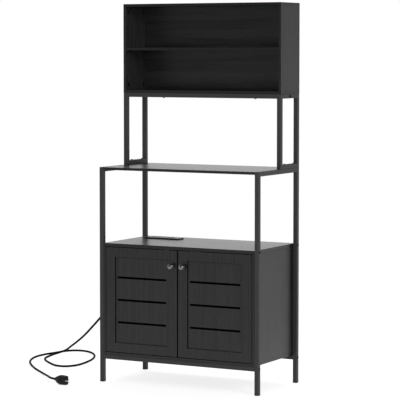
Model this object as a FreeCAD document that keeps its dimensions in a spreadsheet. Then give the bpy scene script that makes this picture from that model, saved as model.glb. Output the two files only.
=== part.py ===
import FreeCAD, Part
import math
import operator
import os
import Sketcher
from types import SimpleNamespace
from FreeCAD import Placement, Rotation, Vector

# A bakers rack in millimetres: a steel tube frame, a two-door cabinet with an outlet in its top,
# an open middle shelf and a two-tier hutch. +Z is up. The origin is on the floor, under the middle
# of the rack's outline with its door knobs. X runs left to right as seen from the doors, and the
# doors face -Y.

# The driving sizes. "front plane" is the plane of the front legs' front faces and of the doors.
SIZES = {
    # Overall
    "rack_width": 800,
    "rack_depth": 400,
    "rack_height": 1700,
    # Frame tube
    "tube_side": 20,
    "tube_wall": 1.2,
    "tube_corner": 2,
    "frame_top": 968,
    "bottom_rail_base": 105,
    "hutch_front": 213,
    "hutch_frame_top": 1298,
    "cross_rail_centre": 307,
    # Feet
    "foot_height": 12,
    "foot_plug": 18,
    "foot_edge": 1.5,
    "plug_play": 0.2,
    # Boards
    "board_thin": 12,
    "board_thick": 15,
    "board_edge": 0.5,
    "shelf_play": 0.5,
    "cabinet_top_base": 613,
    "cabinet_shelf_base": 318,
    "cabinet_shelf_setback": 45,
    "hutch_lower_share": 0.4762,
    "back_panel": 3,
    "back_setback": 2,
    # Doors
    "door_thickness": 15,
    "door_side_gap": 2,
    "door_middle_gap": 6,
    "door_end_gap": 2.5,
    "door_stile": 46,
    "door_rail": 42,
    "door_recess": 5,
    "door_groove": 3,
    "door_groove_depth": 2,
    "slot_length": 251,
    "slot_height": 9.5,
    "slot_pitch": 101,
    # Knobs
    "knob_reach": 25,
    "knob_inset": 25,
    "knob_centre": 541,
    "knob_base": 18,
    "knob_base_height": 2.2,
    "knob_neck": 9,
    "knob_head": 25,
    "knob_head_height": 13,
    "knob_screw": 4,
    "knob_screw_bite": 9,
    # Knife hinges
    "hinge_inset": 4.8,
    "hinge_eye": 8,
    "hinge_leaf": 2,
    "hinge_leaf_length": 43.5,
    "hinge_arm": 13,
    "hinge_pin": 4,
    "hinge_collar": 7.5,
    "hinge_play": 0.1,
    # Magnetic catches
    "catch_offset": 80,
    "catch_length": 50,
    "catch_depth": 14,
    "catch_height": 11,
    "strike_height": 16,
    "strike_thickness": 1.2,
    "strike_gap": 0.4,
    "pole_length": 28,
    "pole_thickness": 1.6,
    "pole_spacing": 6,
    # Outlet in the cabinet top
    "outlet_left": 62,
    "outlet_front": 277,
    "outlet_width": 188,
    "outlet_depth": 60,
    "outlet_rise": 6.5,
    "outlet_corner": 12,
    "outlet_edge": 2.5,
    "housing_inset": 6,
    "housing_drop": 40,
    "housing_wall": 2,
    "housing_corner": 5,
    "socket_width": 34,
    "socket_depth": 36,
    "socket_height": 15,
    "socket_sink": 1,
    "socket_pitch": 42,
    "usb_width": 30,
    "usb_port_width": 13.2,
    "usb_port_height": 5.8,
    "usb_tongue_width": 10.5,
    "usb_tongue_height": 2,
    "socket_slot_depth": 12,
    "blade_play": 0.6,
    "ground_hole_offset": 7.7,
    "spout": 14,
    "spout_drop": 13,
    # Power cord and plug
    "cord": 10,
    "cord_lead": 40,
    "relief_flange": 20,
    "relief_flange_height": 3,
    "relief_neck": 12,
    "relief_length": 35,
    "relief_tip": 13,
    "relief_groove": 1.8,
    "plug_tail": 13,
    "plug_tail_corner": 5.8,
    "plug_shoulder": 15.3,
    "plug_shoulder_place": 10,
    "plug_boot_length": 14,
    "plug_grip_length": 60,
    "plug_grip_rear": 24,
    "plug_swell": 43,
    "plug_swell_thickness": 28,
    "plug_swell_place": 40,
    "plug_front": 40,
    "plug_thickness": 26,
    "plug_rear_thickness": 22.1,
    "plug_corner": 5,
    "blade_length": 17.5,
    "blade_width": 6.4,
    "blade_thickness": 1.5,
    "blade_spacing": 12.7,
    "blade_seat": 3.25,
    "blade_hole": 3.2,
    "blade_hole_place": 12.3,
    "ground_pin": 4.8,
    "ground_pin_length": 21,
    "ground_pin_offset": 11.9,
    # Frame bolts, their inserts and barrel nuts
    "bolt": 6,
    "bolt_clearance": 0.6,
    "thread_clearance": 0.2,
    "bolt_head": 10.5,
    "bolt_head_height": 3.3,
    "bolt_head_rim": 0.6,
    "bolt_crown": 5.8,
    "bolt_socket": 4,
    "bolt_socket_depth": 2,
    "rail_insert": 14,
    "barrel_nut": 10,
    "barrel_nut_inset": 24,
    "barrel_bore_depth": 12.5,
    "rivet_nut": 9,
    "rivet_bulge": 11,
    "rivet_bulge_length": 3,
    "rivet_length": 14,
    "stack_bolt_front": 56,
    "stack_bolt_rear": 38,
    # Shelf tabs on the lower frame
    "tab_width": 30,
    "tab_reach": 25,
    "tab_thickness": 2,
    "tab_inset": 70,
    # Wood screws
    "screw": 4,
    "screw_head": 8,
    "screw_head_height": 2.4,
    "rail_screw_head": 12,
    "rail_screw_head_height": 3.6,
    "small_screw": 3,
    "small_head": 5.6,
    "small_head_height": 1.7,
    "screw_play": 0.2,
    "screw_bite": 9,
    "pilot_depth": 9.6,
    "access_hole": 11,
    "base_screw_inset": 110,
    "hutch_screw_left": 206,
    "hutch_screw_right": 671,
    "back_screw_margin": 45,
    # Cam fittings
    "cam": 15,
    "cam_depth": 10,
    "cam_reach": 24,
    "cam_bolt": 5,
    "cam_bolt_bite": 9,
    "cam_bolt_head": 6.8,
    "cam_bolt_bore": 7.4,
    "cam_slot": 1.4,
    "cabinet_cam_inset": 70,
    "hutch_cam_front": 26,
    "hutch_cam_rear": 25,
    # Shelf pins
    "pin": 5,
    "pin_bite": 8,
    "pin_head": 7,
    "pin_reach": 9,
    "pin_inset": 50,
    "hutch_pin_inset": 35,
}

# Shares of a length
NEAR_SCREWS = 0.2
FAR_SCREWS = 0.4
BACK_FLOOR_SCREWS = (0.2, 0.45)
CATCH_SCREWS = 0.4
CATCH_MOUTH = 0.7
RELIEF_GROOVES = 5
DOME_RISE = 0.68
PAN_CROWN = 0.6

# The cord's route after its lead out of the strain relief, chosen by hand: distance from the left
# outer face, distance behind the front plane, height. The last run lines up with the plug.
CORD_ROUTE = [
    (-100, 307, 567), (-129, 308, 499), (-145, 313, 419),
    (-165, 317, 337), (-192, 328, 261), (-249, 352, 196), (-329, 398, 132), (-406, 443, 89),
    (-480, 500, 55), (-526, 534, 34), (-563, 528, 20), (-588, 497, 11), (-590, 457, 6.5),
    (-580, 418, 5.2), (-549, 378, 5.2), (-504, 334, 5.2), (-449, 282, 5.2), (-396, 238, 5.2),
    (-344, 240, 5.2), (-314, 287, 5.2), (-316, 350, 5.2), (-331, 421, 5.2), (-352, 504, 5.2),
    (-392, 596, 5.2), (-442, 667, 5.2), (-500, 715, 5.2), (-564, 720, 5.2), (-604, 673, 5.2),
    (-616, 597, 5.2), (-637, 520, 5.2), (-633, 428, 5.2), (-591, 322, 5.2), (-530, 234, 5.2),
    (-439, 134, 5.2), (-376, 81, 5.2), (-308, 13, 6.5), (-265, -30, 13.5), (-178.3, -140.3, 21.5),
    (-147, -147, 21.5),
]
PLUG_HEADING = -12

doc = FreeCAD.newDocument("bakers_rack")
sheet = doc.addObject("Spreadsheet::Sheet", "sizes")
for row, (alias, number) in enumerate(SIZES.items(), 1):
    sheet.set(f"A{row}", alias)
    sheet.set(f"B{row}", str(number))
    sheet.setAlias(f"B{row}", alias)
doc.recompute()

# Sizes that are both a number and a formula

class Size:
    """A length, kept as a number and as the formula that gives it from the sheet."""

    def __init__(self, number, formula):
        self.number = number
        self.formula = formula

    def __float__(self):
        return float(self.number)

    def __add__(self, other):
        return combine(operator.add, "+", self, other)

    def __radd__(self, other):
        return combine(operator.add, "+", other, self)

    def __sub__(self, other):
        return combine(operator.sub, "-", self, other)

    def __rsub__(self, other):
        return combine(operator.sub, "-", other, self)

    def __mul__(self, other):
        return combine(operator.mul, "*", self, other)

    def __rmul__(self, other):
        return combine(operator.mul, "*", other, self)

    def __truediv__(self, other):
        return combine(operator.truediv, "/", self, other)


def as_size(value):
    return value if isinstance(value, Size) else Size(value, repr(value))


def combine(operation, sign, first, second):
    first = as_size(first)
    second = as_size(second)
    number = operation(first.number, second.number)
    return Size(number, f"({first.formula} {sign} {second.formula})")


size = SimpleNamespace(**{alias: Size(sheet.get(alias), f"sizes.{alias}") for alias in SIZES})


# Places

def across(distance):
    """X of a point at this distance from the left outer face."""
    return distance - size.rack_width / 2


def behind(distance):
    """Y of a point at this distance behind the front plane."""
    return distance - (size.rack_depth - size.knob_reach) / 2


def spot(x, y, z):
    return Vector(float(across(x)), float(behind(y)), float(z))


TURNS = {
    "+X": Rotation(Vector(0, 1, 0), 90),
    "-X": Rotation(Vector(0, 1, 0), -90),
    "+Y": Rotation(Vector(1, 0, 0), -90),
    "-Y": Rotation(Vector(1, 0, 0), 90),
    "+Z": Rotation(),
    "-Z": Rotation(Vector(1, 0, 0), 180),
    "half turn": Rotation(Vector(0, 0, 1), 180),
    "low rail": Rotation(Vector(0, 1, 1), 180),
}


def bind(thing, formulas):
    for prop, value in formulas.items():
        thing.setExpression(prop, as_size(value).formula)


def place(thing, point, turn="+Z"):
    """Put a thing's own origin at a point measured from the left face and the front plane."""
    thing.Placement = Placement(Vector(), TURNS[turn])
    x, y, z = point
    bind(thing, {
        "Placement.Base.x": across(x),
        "Placement.Base.y": behind(y),
        "Placement.Base.z": z,
    })
    return thing


# Primitives, booleans and named sub-parts

parts = {}


def named(label, thing):
    """Make a thing a sub-part: its label is the name of its file."""
    thing.Label = label
    parts[label] = thing
    return thing


def block(x, y, z):
    """A box between two distances each way."""
    box = doc.addObject("Part::Box", "block")
    bind(box, {"Length": x[1] - x[0], "Width": y[1] - y[0], "Height": z[1] - z[0]})
    return place(box, (x[0], y[0], z[0]))


def rod(point, turn, length, diameter):
    cylinder = doc.addObject("Part::Cylinder", "rod")
    bind(cylinder, {"Radius": as_size(diameter) / 2, "Height": length})
    return place(cylinder, point, turn)


def cone(point, turn, length, first, last):
    taper = doc.addObject("Part::Cone", "taper")
    bind(taper, {"Radius1": first / 2, "Radius2": last / 2, "Height": length})
    return place(taper, point, turn)


def fused(things):
    if len(things) == 1:
        return things[0]
    union = doc.addObject("Part::MultiFuse", "union")
    union.Shapes = things
    return union


def cut(base, *groups):
    """Cut groups of tools out of a base, one group after another."""
    for tools in groups:
        result = doc.addObject("Part::Cut", "cut")
        result.Base = base
        result.Tool = fused(tools)
        base = result
    return base


def mirrored(thing):
    """The right-hand twin of a left-hand thing."""
    twin = doc.addObject("Part::Mirroring", "twin")
    twin.Source = thing
    twin.Normal = Vector(1, 0, 0)
    return twin


def both_sides(tools):
    """The left-hand tools and their right-hand twins, as two groups."""
    union = fused(tools)
    return [union], [mirrored(union)]


def fixed_shape(label, solids):
    """A sub-part of several loose solids, such as a set of like screws."""
    feature = doc.addObject("Part::Feature", label)
    feature.Shape = Part.makeCompound(solids) if len(solids) > 1 else solids[0]
    return named(label, feature)


# Sketches and bodies

def new_body(name):
    return doc.addObject("PartDesign::Body", name + "_body")


def origin_feature(body, role):
    return next(item for item in body.Origin.OriginFeatures if item.Role == role)


def sketch_on(body, role):
    sketch = body.newObject("Sketcher::SketchObject", body.Name + "_sketch")
    sketch.AttachmentSupport = [(origin_feature(body, role), "")]
    sketch.MapMode = "FlatFace"
    return sketch


def dimension(sketch, kind, *ends, value):
    index = sketch.addConstraint(Sketcher.Constraint(kind, *ends, float(value)))
    sketch.renameConstraint(index, f"size{index}")
    sketch.setExpression(f"Constraints.size{index}", as_size(value).formula)


ORIGIN = (-1, 1)


def outline(sketch, corners):
    """A closed loop of lines through the corners; returns the number of its first line."""
    first = sketch.GeometryCount
    count = len(corners)
    for side in range(count):
        start = Vector(*corners[side])
        end = Vector(*corners[(side + 1) % count])
        sketch.addGeometry(Part.LineSegment(start, end))
    for side in range(count):
        ends = (first + side, 2, first + (side + 1) % count, 1)
        sketch.addConstraint(Sketcher.Constraint("Coincident", *ends))
    return first


def rectangle(sketch, wide, high, centred):
    """A rectangle round the sketch's origin, or with its low left corner there."""
    left = -float(wide) / 2 if centred else 0
    low = -float(high) / 2 if centred else 0
    right = left + float(wide)
    top = low + float(high)
    first = outline(sketch, [(left, low), (right, low), (right, top), (left, top)])
    for side, kind in enumerate(["Horizontal", "Vertical", "Horizontal", "Vertical"]):
        sketch.addConstraint(Sketcher.Constraint(kind, first + side))
    if centred:
        sketch.addConstraint(Sketcher.Constraint("Symmetric", first, 1, first + 2, 1, *ORIGIN))
    else:
        sketch.addConstraint(Sketcher.Constraint("Coincident", first, 1, *ORIGIN))
    dimension(sketch, "DistanceX", first, 1, first, 2, value=wide)
    dimension(sketch, "DistanceY", first + 1, 1, first + 1, 2, value=high)


def pad(body, sketch, length, reverse=False):
    feature = body.newObject("PartDesign::Pad", body.Name + "_pad")
    feature.Profile = sketch
    feature.Reversed = reverse
    bind(feature, {"Length": length})
    return feature


def pocket_through(body, sketch, both_ways=False):
    feature = body.newObject("PartDesign::Pocket", body.Name + "_pocket")
    feature.Profile = sketch
    feature.Type = "ThroughAll"
    feature.Midplane = both_ways
    return feature


def sunk_into(body, sketch, deep):
    feature = body.newObject("PartDesign::Pocket", body.Name + "_pocket")
    feature.Profile = sketch
    bind(feature, {"Length": deep})
    return feature


def eased(body, base, amount):
    """Every edge of a board is eased by a small chamfer."""
    chamfer = body.newObject("PartDesign::Chamfer", body.Name + "_chamfer")
    chamfer.Base = (base, [""])
    chamfer.UseAllEdges = True
    bind(chamfer, {"Size": amount})
    return chamfer


def rounded(body, base, edges, radius):
    fillet = body.newObject("PartDesign::Fillet", body.Name + "_fillet")
    fillet.Base = (base, edges)
    bind(fillet, {"Radius": radius})
    return fillet


def edges_where(feature, test):
    """Names of a feature's edges whose middle and direction pass a test."""
    names = []
    for index, edge in enumerate(feature.Shape.Edges, 1):
        middle = edge.valueAt((edge.FirstParameter + edge.LastParameter) / 2)
        along = edge.tangentAt((edge.FirstParameter + edge.LastParameter) / 2)
        if test(middle, along):
            names.append(f"Edge{index}")
    return names


def board(name, x, y, z):
    """An eased board between two distances each way."""
    body = new_body(name)
    face = sketch_on(body, "XY_Plane")
    rectangle(face, x[1] - x[0], y[1] - y[0], centred=False)
    slab = pad(body, face, z[1] - z[0])
    eased(body, slab, size.board_edge)
    return place(body, (x[0], y[0], z[0]))


def tube(name, length, point, turn, mitred_start=False, mitred_end=False):
    """Square tube along its own +Z; a mitred end is short on its own +Y side."""
    body = new_body(name)
    section = sketch_on(body, "XY_Plane")
    inner = size.tube_side - 2 * size.tube_wall
    rectangle(section, size.tube_side, size.tube_side, centred=True)
    rectangle(section, inner, inner, centred=True)
    wall = pad(body, section, length)
    doc.recompute()
    limit = float(inner) / 2
    corners = edges_where(wall, lambda at, along: abs(along.z) > 0.9 and abs(at.x) > limit + 0.1)
    rounded(body, wall, corners, size.tube_corner)
    over = size.tube_wall
    half = size.tube_side / 2 + over
    side = 2 * half
    for wanted, level, sign in ((mitred_end, length + over, 1), (mitred_start, over, -1)):
        if not wanted:
            continue
        wedge = sketch_on(body, "YZ_Plane")
        flat = sign * float(level)
        low = flat - sign * float(side)
        first = outline(wedge, [(-float(half), flat), (float(half), flat), (float(half), low)])
        wedge.addConstraint(Sketcher.Constraint("Horizontal", first))
        wedge.addConstraint(Sketcher.Constraint("Vertical", first + 1))
        dimension(wedge, "DistanceX", first, 1, *ORIGIN, value=half)
        dimension(wedge, "DistanceX", first, 1, first, 2, value=side)
        if sign > 0:
            dimension(wedge, "DistanceY", *ORIGIN, first, 1, value=level)
            dimension(wedge, "DistanceY", first + 1, 2, first + 1, 1, value=side)
        else:
            dimension(wedge, "DistanceY", first, 1, *ORIGIN, value=level)
            dimension(wedge, "DistanceY", first + 1, 1, first + 1, 2, value=side)
        pocket_through(body, wedge, both_ways=True)
    return place(body, point, turn)


# Heights, widths and depths that several pieces share

width = size.rack_width
depth = size.rack_depth
side_of_tube = size.tube_side
inner_left = side_of_tube
inner_right = width - side_of_tube
tube_middle = side_of_tube / 2
rear_middle = depth - tube_middle
rail_top = size.bottom_rail_base + side_of_tube
rail_level = size.bottom_rail_base + tube_middle
floor_top = rail_top + size.board_thin
cabinet_top_level = size.cabinet_top_base + size.board_thick
top_bolt_level = size.cabinet_top_base + size.board_thick / 2
back_inner = depth - size.back_setback - size.back_panel
back_outer = depth - size.back_setback
side_middle = inner_left + size.board_thin / 2
side_inner = inner_left + size.board_thin
hutch_floor_top = size.hutch_frame_top + size.board_thin
hutch_roof_base = size.rack_height - size.board_thin
hutch_back_front = depth - size.board_thin
hutch_rail_level = size.hutch_frame_top - tube_middle
hutch_shelf_base = hutch_floor_top + (hutch_roof_base - hutch_floor_top) * size.hutch_lower_share
middle_shelf_base = size.frame_top - size.board_thin
tab_top = middle_shelf_base
stack_bolts = [size.hutch_front + size.stack_bolt_front, depth - size.stack_bolt_rear]
bolt_bore = size.bolt + size.bolt_clearance
thread_bore = size.bolt + size.thread_clearance
screw_bore = size.screw + size.screw_play
small_bore = size.small_screw + size.screw_play
past = size.tube_wall


# Lower frame

def through_tube(y, z):
    """A bolt hole through both side walls of a left-hand tube."""
    return rod((0 - past, y, z), "+X", side_of_tube + 2 * past, bolt_bore)


def leg(name, y, turn):
    length = size.frame_top - size.foot_height
    post = tube(name, length, (tube_middle, y, size.foot_height), turn, mitred_end=True)
    holes = [through_tube(y, rail_level), through_tube(y, top_bolt_level)]
    left = named(name.replace("SIDE", "left"), cut(post, holes))
    named(name.replace("SIDE", "right"), mirrored(left))


leg("front_SIDE_leg", tube_middle, "+Z")
leg("rear_SIDE_leg", rear_middle, "half turn")


def shelf_rails():
    """Top rails of the side frames, with two tabs each under the middle shelf."""
    level = size.frame_top - tube_middle
    bar = tube("shelf_rail", depth, (tube_middle, 0, level), "+Y", True, True)
    nut_holes = [rod((tube_middle, y, size.frame_top - 3 * size.tube_wall), "+Z",
                     4 * size.tube_wall, size.rivet_nut + size.thread_clearance)
                 for y in stack_bolts]
    tabs = []
    screw_holes = []
    for y in tab_places:
        near = y - size.tab_width / 2
        tabs.append(block((side_of_tube, side_of_tube + size.tab_reach),
                          (near, near + size.tab_width),
                          (tab_top - size.tab_thickness, tab_top)))
        screw_holes.append(rod((tab_screw_x, y, tab_top - 2 * size.tab_thickness), "+Z",
                               3 * size.tab_thickness, screw_bore))
    left = named("left_shelf_rail", cut(fused([bar] + tabs), nut_holes + screw_holes))
    named("right_shelf_rail", mirrored(left))


tab_places = [size.tab_inset, depth - size.tab_inset]
tab_screw_x = side_of_tube + size.tab_reach / 2
shelf_rails()

base_screws_x = [side_of_tube + size.base_screw_inset, width * FAR_SCREWS]


def bottom_rail(label, y):
    """A rail bolted between two legs; screws stand inside it and hold the cabinet's floor."""
    length = width - 2 * side_of_tube
    bar = tube(label, length, (side_of_tube, y, rail_level), "+X")
    holes = []
    for x in base_screws_x:
        holes.append(rod((x, y, size.bottom_rail_base - past), "+Z", 3 * past, size.access_hole))
        holes.append(rod((x, y, rail_top - 2 * past), "+Z", 3 * past, screw_bore))
    named(label, cut(bar, *both_sides(holes)))


bottom_rail("front_bottom_rail", tube_middle)
bottom_rail("rear_bottom_rail", rear_middle)


def foot_caps():
    """Plastic caps with a ribbed plug that stand in the open leg ends."""
    caps = []
    plug = side_of_tube - 2 * size.tube_wall - size.plug_play
    edge = (side_of_tube - plug) / 2
    for y in (0, depth - side_of_tube):
        pad_body = new_body("foot")
        face = sketch_on(pad_body, "XY_Plane")
        rectangle(face, side_of_tube, side_of_tube, centred=False)
        solid = pad(pad_body, face, size.foot_height)
        doc.recompute()
        lower = edges_where(solid, lambda at, along: at.z < 0.01 or abs(along.z) > 0.9)
        rounded(pad_body, solid, lower, size.foot_edge)
        place(pad_body, (0, y, 0))
        stem = block((edge, edge + plug), (y + edge, y + edge + plug),
                     (size.foot_height, size.foot_height + size.foot_plug))
        cap = fused([pad_body, stem])
        caps += [cap, mirrored(cap)]
    group = doc.addObject("Part::Compound", "caps")
    group.Links = caps
    named("foot_caps", group)


foot_caps()


# Hutch frame

def hutch_post(name, y, turn):
    length = size.hutch_frame_top - size.frame_top
    left = named(name.replace("SIDE", "left"),
                 tube(name, length, (tube_middle, y, size.frame_top), turn, True, True))
    named(name.replace("SIDE", "right"), mirrored(left))


hutch_front_middle = size.hutch_front + tube_middle
hutch_post("hutch_front_SIDE_post", hutch_front_middle, "+Z")
hutch_post("hutch_rear_SIDE_post", rear_middle, "half turn")


def hutch_side_rails():
    length = depth - size.hutch_front
    low = tube("hutch_bottom_rail", length,
               (tube_middle, size.hutch_front, size.frame_top + tube_middle), "low rail", True, True)
    holes = [rod((tube_middle, y, size.frame_top - past), "+Z", side_of_tube + 2 * past, bolt_bore)
             for y in stack_bolts]
    left = named("hutch_left_bottom_rail", cut(low, holes))
    named("hutch_right_bottom_rail", mirrored(left))
    high = tube("hutch_top_rail", length,
                (tube_middle, size.hutch_front, hutch_rail_level), "+Y", True, True)
    hole = through_tube(size.cross_rail_centre, hutch_rail_level)
    left = named("hutch_left_top_rail", cut(high, [hole]))
    named("hutch_right_top_rail", mirrored(left))


hutch_side_rails()

hutch_screws_x = [size.hutch_screw_left, size.hutch_screw_right]


def hutch_long_rails():
    length = width - 2 * side_of_tube
    for label, y in (("hutch_front_rail", hutch_front_middle), ("hutch_rear_rail", rear_middle)):
        bar = tube(label, length, (side_of_tube, y, hutch_rail_level), "+X")
        holes = [rod((x, y, size.hutch_frame_top - side_of_tube - past), "+Z",
                     side_of_tube + 2 * past, screw_bore) for x in hutch_screws_x]
        named(label, cut(bar, holes))
    named("hutch_cross_rail",
          tube("hutch_cross_rail", length,
               (side_of_tube, size.cross_rail_centre, hutch_rail_level), "+X"))


hutch_long_rails()


# Cam fittings: a bolt stands out of one board and a cam in the next one draws it in

def bolt_pilot(x, y, level, turn):
    """The hole that a cam bolt is screwed into."""
    return rod((x, y, level), turn, size.cam_bolt_bite + size.screw_play,
               size.cam_bolt + size.screw_play)


def cam_bores(x_inner, x_middle, y, level, turn):
    """The cam's blind bore in a board's inner face and the bolt's bore in from the board's end."""
    reach = size.cam_reach
    centre = level + reach if turn == "+Z" else level - reach
    return [
        rod((x_inner, y, centre), "-X", size.cam_depth + size.screw_play, size.cam + size.screw_play),
        rod((x_middle, y, level), turn, reach, size.cam_bolt_bore),
    ]


cabinet_cams_y = [size.cabinet_cam_inset, depth - size.cabinet_cam_inset]
hutch_cams_y = [size.hutch_front + size.hutch_cam_front, depth - size.hutch_cam_rear]
hutch_side_middle = size.board_thin / 2


# Door sizes

door_outer = side_inner + size.door_side_gap
door_inner = width / 2 - size.door_middle_gap / 2
door_base = floor_top + size.door_end_gap
door_top = size.cabinet_top_base - size.door_end_gap
door_width = door_inner - door_outer
door_height = door_top - door_base
hinge_x = door_outer + size.hinge_inset
hinge_y = size.hinge_inset
leaf_end = door_outer + size.hinge_leaf_length
leaf_middle_y = size.hinge_arm - size.hinge_eye / 2
leaf_screws_x = [hinge_x + 2 * size.hinge_eye, leaf_end - size.hinge_eye]


def leaf_form(low, high, grow):
    """A knife hinge's leaf between two heights: an eye at the corner, an arm and a round tongue."""
    play = as_size(grow)
    wide = size.hinge_eye + 2 * play
    arm = block((hinge_x - wide / 2, hinge_x + wide / 2), (hinge_y, size.hinge_arm + play), (low, high))
    tongue = block((hinge_x, leaf_end - size.hinge_eye / 2),
                   (leaf_middle_y - wide / 2, leaf_middle_y + wide / 2), (low, high))
    tip = rod((leaf_end - size.hinge_eye / 2, leaf_middle_y, low), "+Z", high - low, wide)
    eye = rod((hinge_x, hinge_y, low), "+Z", high - low, wide)
    return [arm, tongue, tip, eye]


def mortise(low, high):
    """The leaf's seat, open at the door's front and outer side."""
    corner = block((door_outer - size.board_edge, hinge_x + size.hinge_eye / 2 + size.hinge_play),
                   (0 - size.board_edge, size.hinge_arm + size.hinge_play), (low, high))
    return leaf_form(low, high, size.hinge_play) + [corner]


def cabinet_mortise(low, high):
    """The leaf's seat in the cabinet's top or floor, closed all round."""
    return leaf_form(low, high, size.hinge_play)


def leaf_screw_bores(level, turn):
    return [rod((x, leaf_middle_y, level), turn, size.board_thin - size.hinge_leaf, small_bore)
            for x in leaf_screws_x]


# Cabinet

cord_exit_level = size.cabinet_top_base - size.spout_drop
outlet_right = size.outlet_left + size.outlet_width
outlet_back = size.outlet_front + size.outlet_depth
outlet_middle_y = size.outlet_front + size.outlet_depth / 2
housing_x = (size.outlet_left + size.housing_inset, outlet_right - size.housing_inset)
housing_y = (size.outlet_front + size.housing_inset, outlet_back - size.housing_inset)
catch_x = width / 2 - size.catch_offset
catch_front = size.door_thickness + size.strike_thickness + size.strike_gap
catch_screws_x = [catch_x - size.catch_length * CATCH_SCREWS, catch_x + size.catch_length * CATCH_SCREWS]
catch_middle_y = catch_front + size.catch_depth / 2
back_screws_z = [rail_top + size.back_screw_margin + (size.cabinet_top_base - rail_top
                 - 2 * size.back_screw_margin) * step / 4 for step in range(5)]
back_screws_x = [width * share for share in BACK_FLOOR_SCREWS]
back_screw_floor = rail_top + size.board_thin / 2


def cabinet_top():
    slab = board("cabinet_top", (inner_left, inner_right), (0 * depth, depth),
                 (size.cabinet_top_base, cabinet_top_level))
    play = size.plug_play
    opening = block((housing_x[0] - play, housing_x[1] + play), (housing_y[0] - play, housing_y[1] + play),
                    (size.cabinet_top_base - past, cabinet_top_level + past))
    under = size.cabinet_top_base
    left = []
    for y in (tube_middle, rear_middle):
        left.append(rod((inner_left - past, y, top_bolt_level), "+X",
                        size.barrel_nut_inset + size.barrel_nut / 2 + 2 * past, bolt_bore))
        left.append(rod((inner_left + size.barrel_nut_inset, y, under - past), "+Z",
                        size.barrel_bore_depth + past, size.barrel_nut + size.thread_clearance))
    for y in cabinet_cams_y:
        left.append(bolt_pilot(side_middle, y, under, "+Z"))
    left += cabinet_mortise(under - past, under + size.hinge_leaf)
    left += leaf_screw_bores(under + size.hinge_leaf, "+Z")
    for x in catch_screws_x:
        left.append(rod((x, catch_middle_y, under), "+Z", size.board_thin, small_bore))
    named("cabinet_top", cut(slab, *both_sides(left), [opening]))


def cabinet_bottom():
    slab = board("cabinet_bottom", (inner_left, inner_right), (0 * depth, back_inner),
                 (rail_top, floor_top))
    left = [bolt_pilot(side_middle, y, floor_top, "-Z") for y in cabinet_cams_y]
    left += cabinet_mortise(floor_top - size.hinge_leaf, floor_top + past)
    left += leaf_screw_bores(floor_top - size.hinge_leaf, "-Z")
    for x in base_screws_x:
        for y in (tube_middle, rear_middle):
            left.append(rod((x, y, rail_top), "+Z", size.pilot_depth, screw_bore))
    for x in back_screws_x:
        left.append(rod((x, back_inner, back_screw_floor), "-Y", size.board_thin, small_bore))
    named("cabinet_bottom", cut(slab, *both_sides(left)))


def cabinet_sides():
    panel = board("cabinet_side", (inner_left, side_inner), (0 * depth, back_inner),
                  (floor_top, size.cabinet_top_base))
    bores = []
    for y in cabinet_cams_y:
        bores += cam_bores(side_inner, side_middle, y, floor_top, "+Z")
        bores += cam_bores(side_inner, side_middle, y, size.cabinet_top_base, "-Z")
    for y in cabinet_pins_y:
        bores.append(rod((side_inner, y, size.cabinet_shelf_base - size.pin_head / 2), "-X",
                         size.pin_bite + size.screw_play, size.pin + size.screw_play))
    for z in back_screws_z[1:-1]:
        bores.append(rod((side_middle, back_inner, z), "-Y", size.board_thin, small_bore))
    plain = cut(panel, bores)
    cord_hole = rod((inner_left - past, outlet_middle_y, cord_exit_level), "+X",
                    size.board_thin + 2 * past, size.relief_neck + size.screw_play)
    named("cabinet_left_side", cut(plain, [cord_hole]))
    named("cabinet_right_side", mirrored(plain))


def cabinet_back():
    panel = doc.addObject("Part::Box", "back_panel")
    bind(panel, {"Length": inner_right - inner_left, "Width": size.back_panel,
                 "Height": size.cabinet_top_base - rail_top})
    place(panel, (inner_left, back_inner, rail_top))
    holes = [rod((side_middle, back_inner - past, z), "+Y", size.back_panel + 2 * past, small_bore)
             for z in back_screws_z[1:-1]]
    holes += [rod((x, back_inner - past, back_screw_floor), "+Y", size.back_panel + 2 * past, small_bore)
              for x in back_screws_x]
    named("cabinet_back", cut(panel, *both_sides(holes)))


cabinet_pins_y = [size.cabinet_shelf_setback + size.pin_inset, back_inner - size.pin_inset]
cabinet_top()
cabinet_bottom()
cabinet_sides()
cabinet_back()
named("cabinet_shelf",
      board("cabinet_shelf", (side_inner + size.shelf_play, width - side_inner - size.shelf_play),
            (size.cabinet_shelf_setback, back_inner - size.shelf_play),
            (size.cabinet_shelf_base, size.cabinet_shelf_base + size.board_thin)))


def middle_shelf():
    slab = board("middle_shelf", (inner_left + size.shelf_play, inner_right - size.shelf_play),
                 (0 * depth, depth), (middle_shelf_base, size.frame_top))
    holes = [rod((tab_screw_x, y, middle_shelf_base), "+Z", size.pilot_depth, screw_bore)
             for y in tab_places]
    named("middle_shelf", cut(slab, *both_sides(holes)))


middle_shelf()


# Hutch box

hutch_back_screws_z = [hutch_floor_top + size.back_screw_margin
                       + (hutch_roof_base - hutch_floor_top - 2 * size.back_screw_margin) * step / 3
                       for step in range(4)]
hutch_shelf_screws_x = [width * NEAR_SCREWS, width * FAR_SCREWS]
hutch_shelf_middle = hutch_shelf_base + size.board_thin / 2
hutch_pins_y = [size.hutch_front + size.hutch_pin_inset, hutch_back_front - size.hutch_pin_inset]


def hutch_bottom():
    slab = board("hutch_bottom", (0 * width, width), (size.hutch_front, depth),
                 (size.hutch_frame_top, hutch_floor_top))
    left = [bolt_pilot(hutch_side_middle, y, hutch_floor_top, "-Z") for y in hutch_cams_y]
    screws = [rod((x, y, size.hutch_frame_top), "+Z", size.pilot_depth, screw_bore)
              for x in hutch_screws_x for y in (hutch_front_middle, rear_middle)]
    named("hutch_bottom", cut(slab, *both_sides(left), screws))


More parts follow.
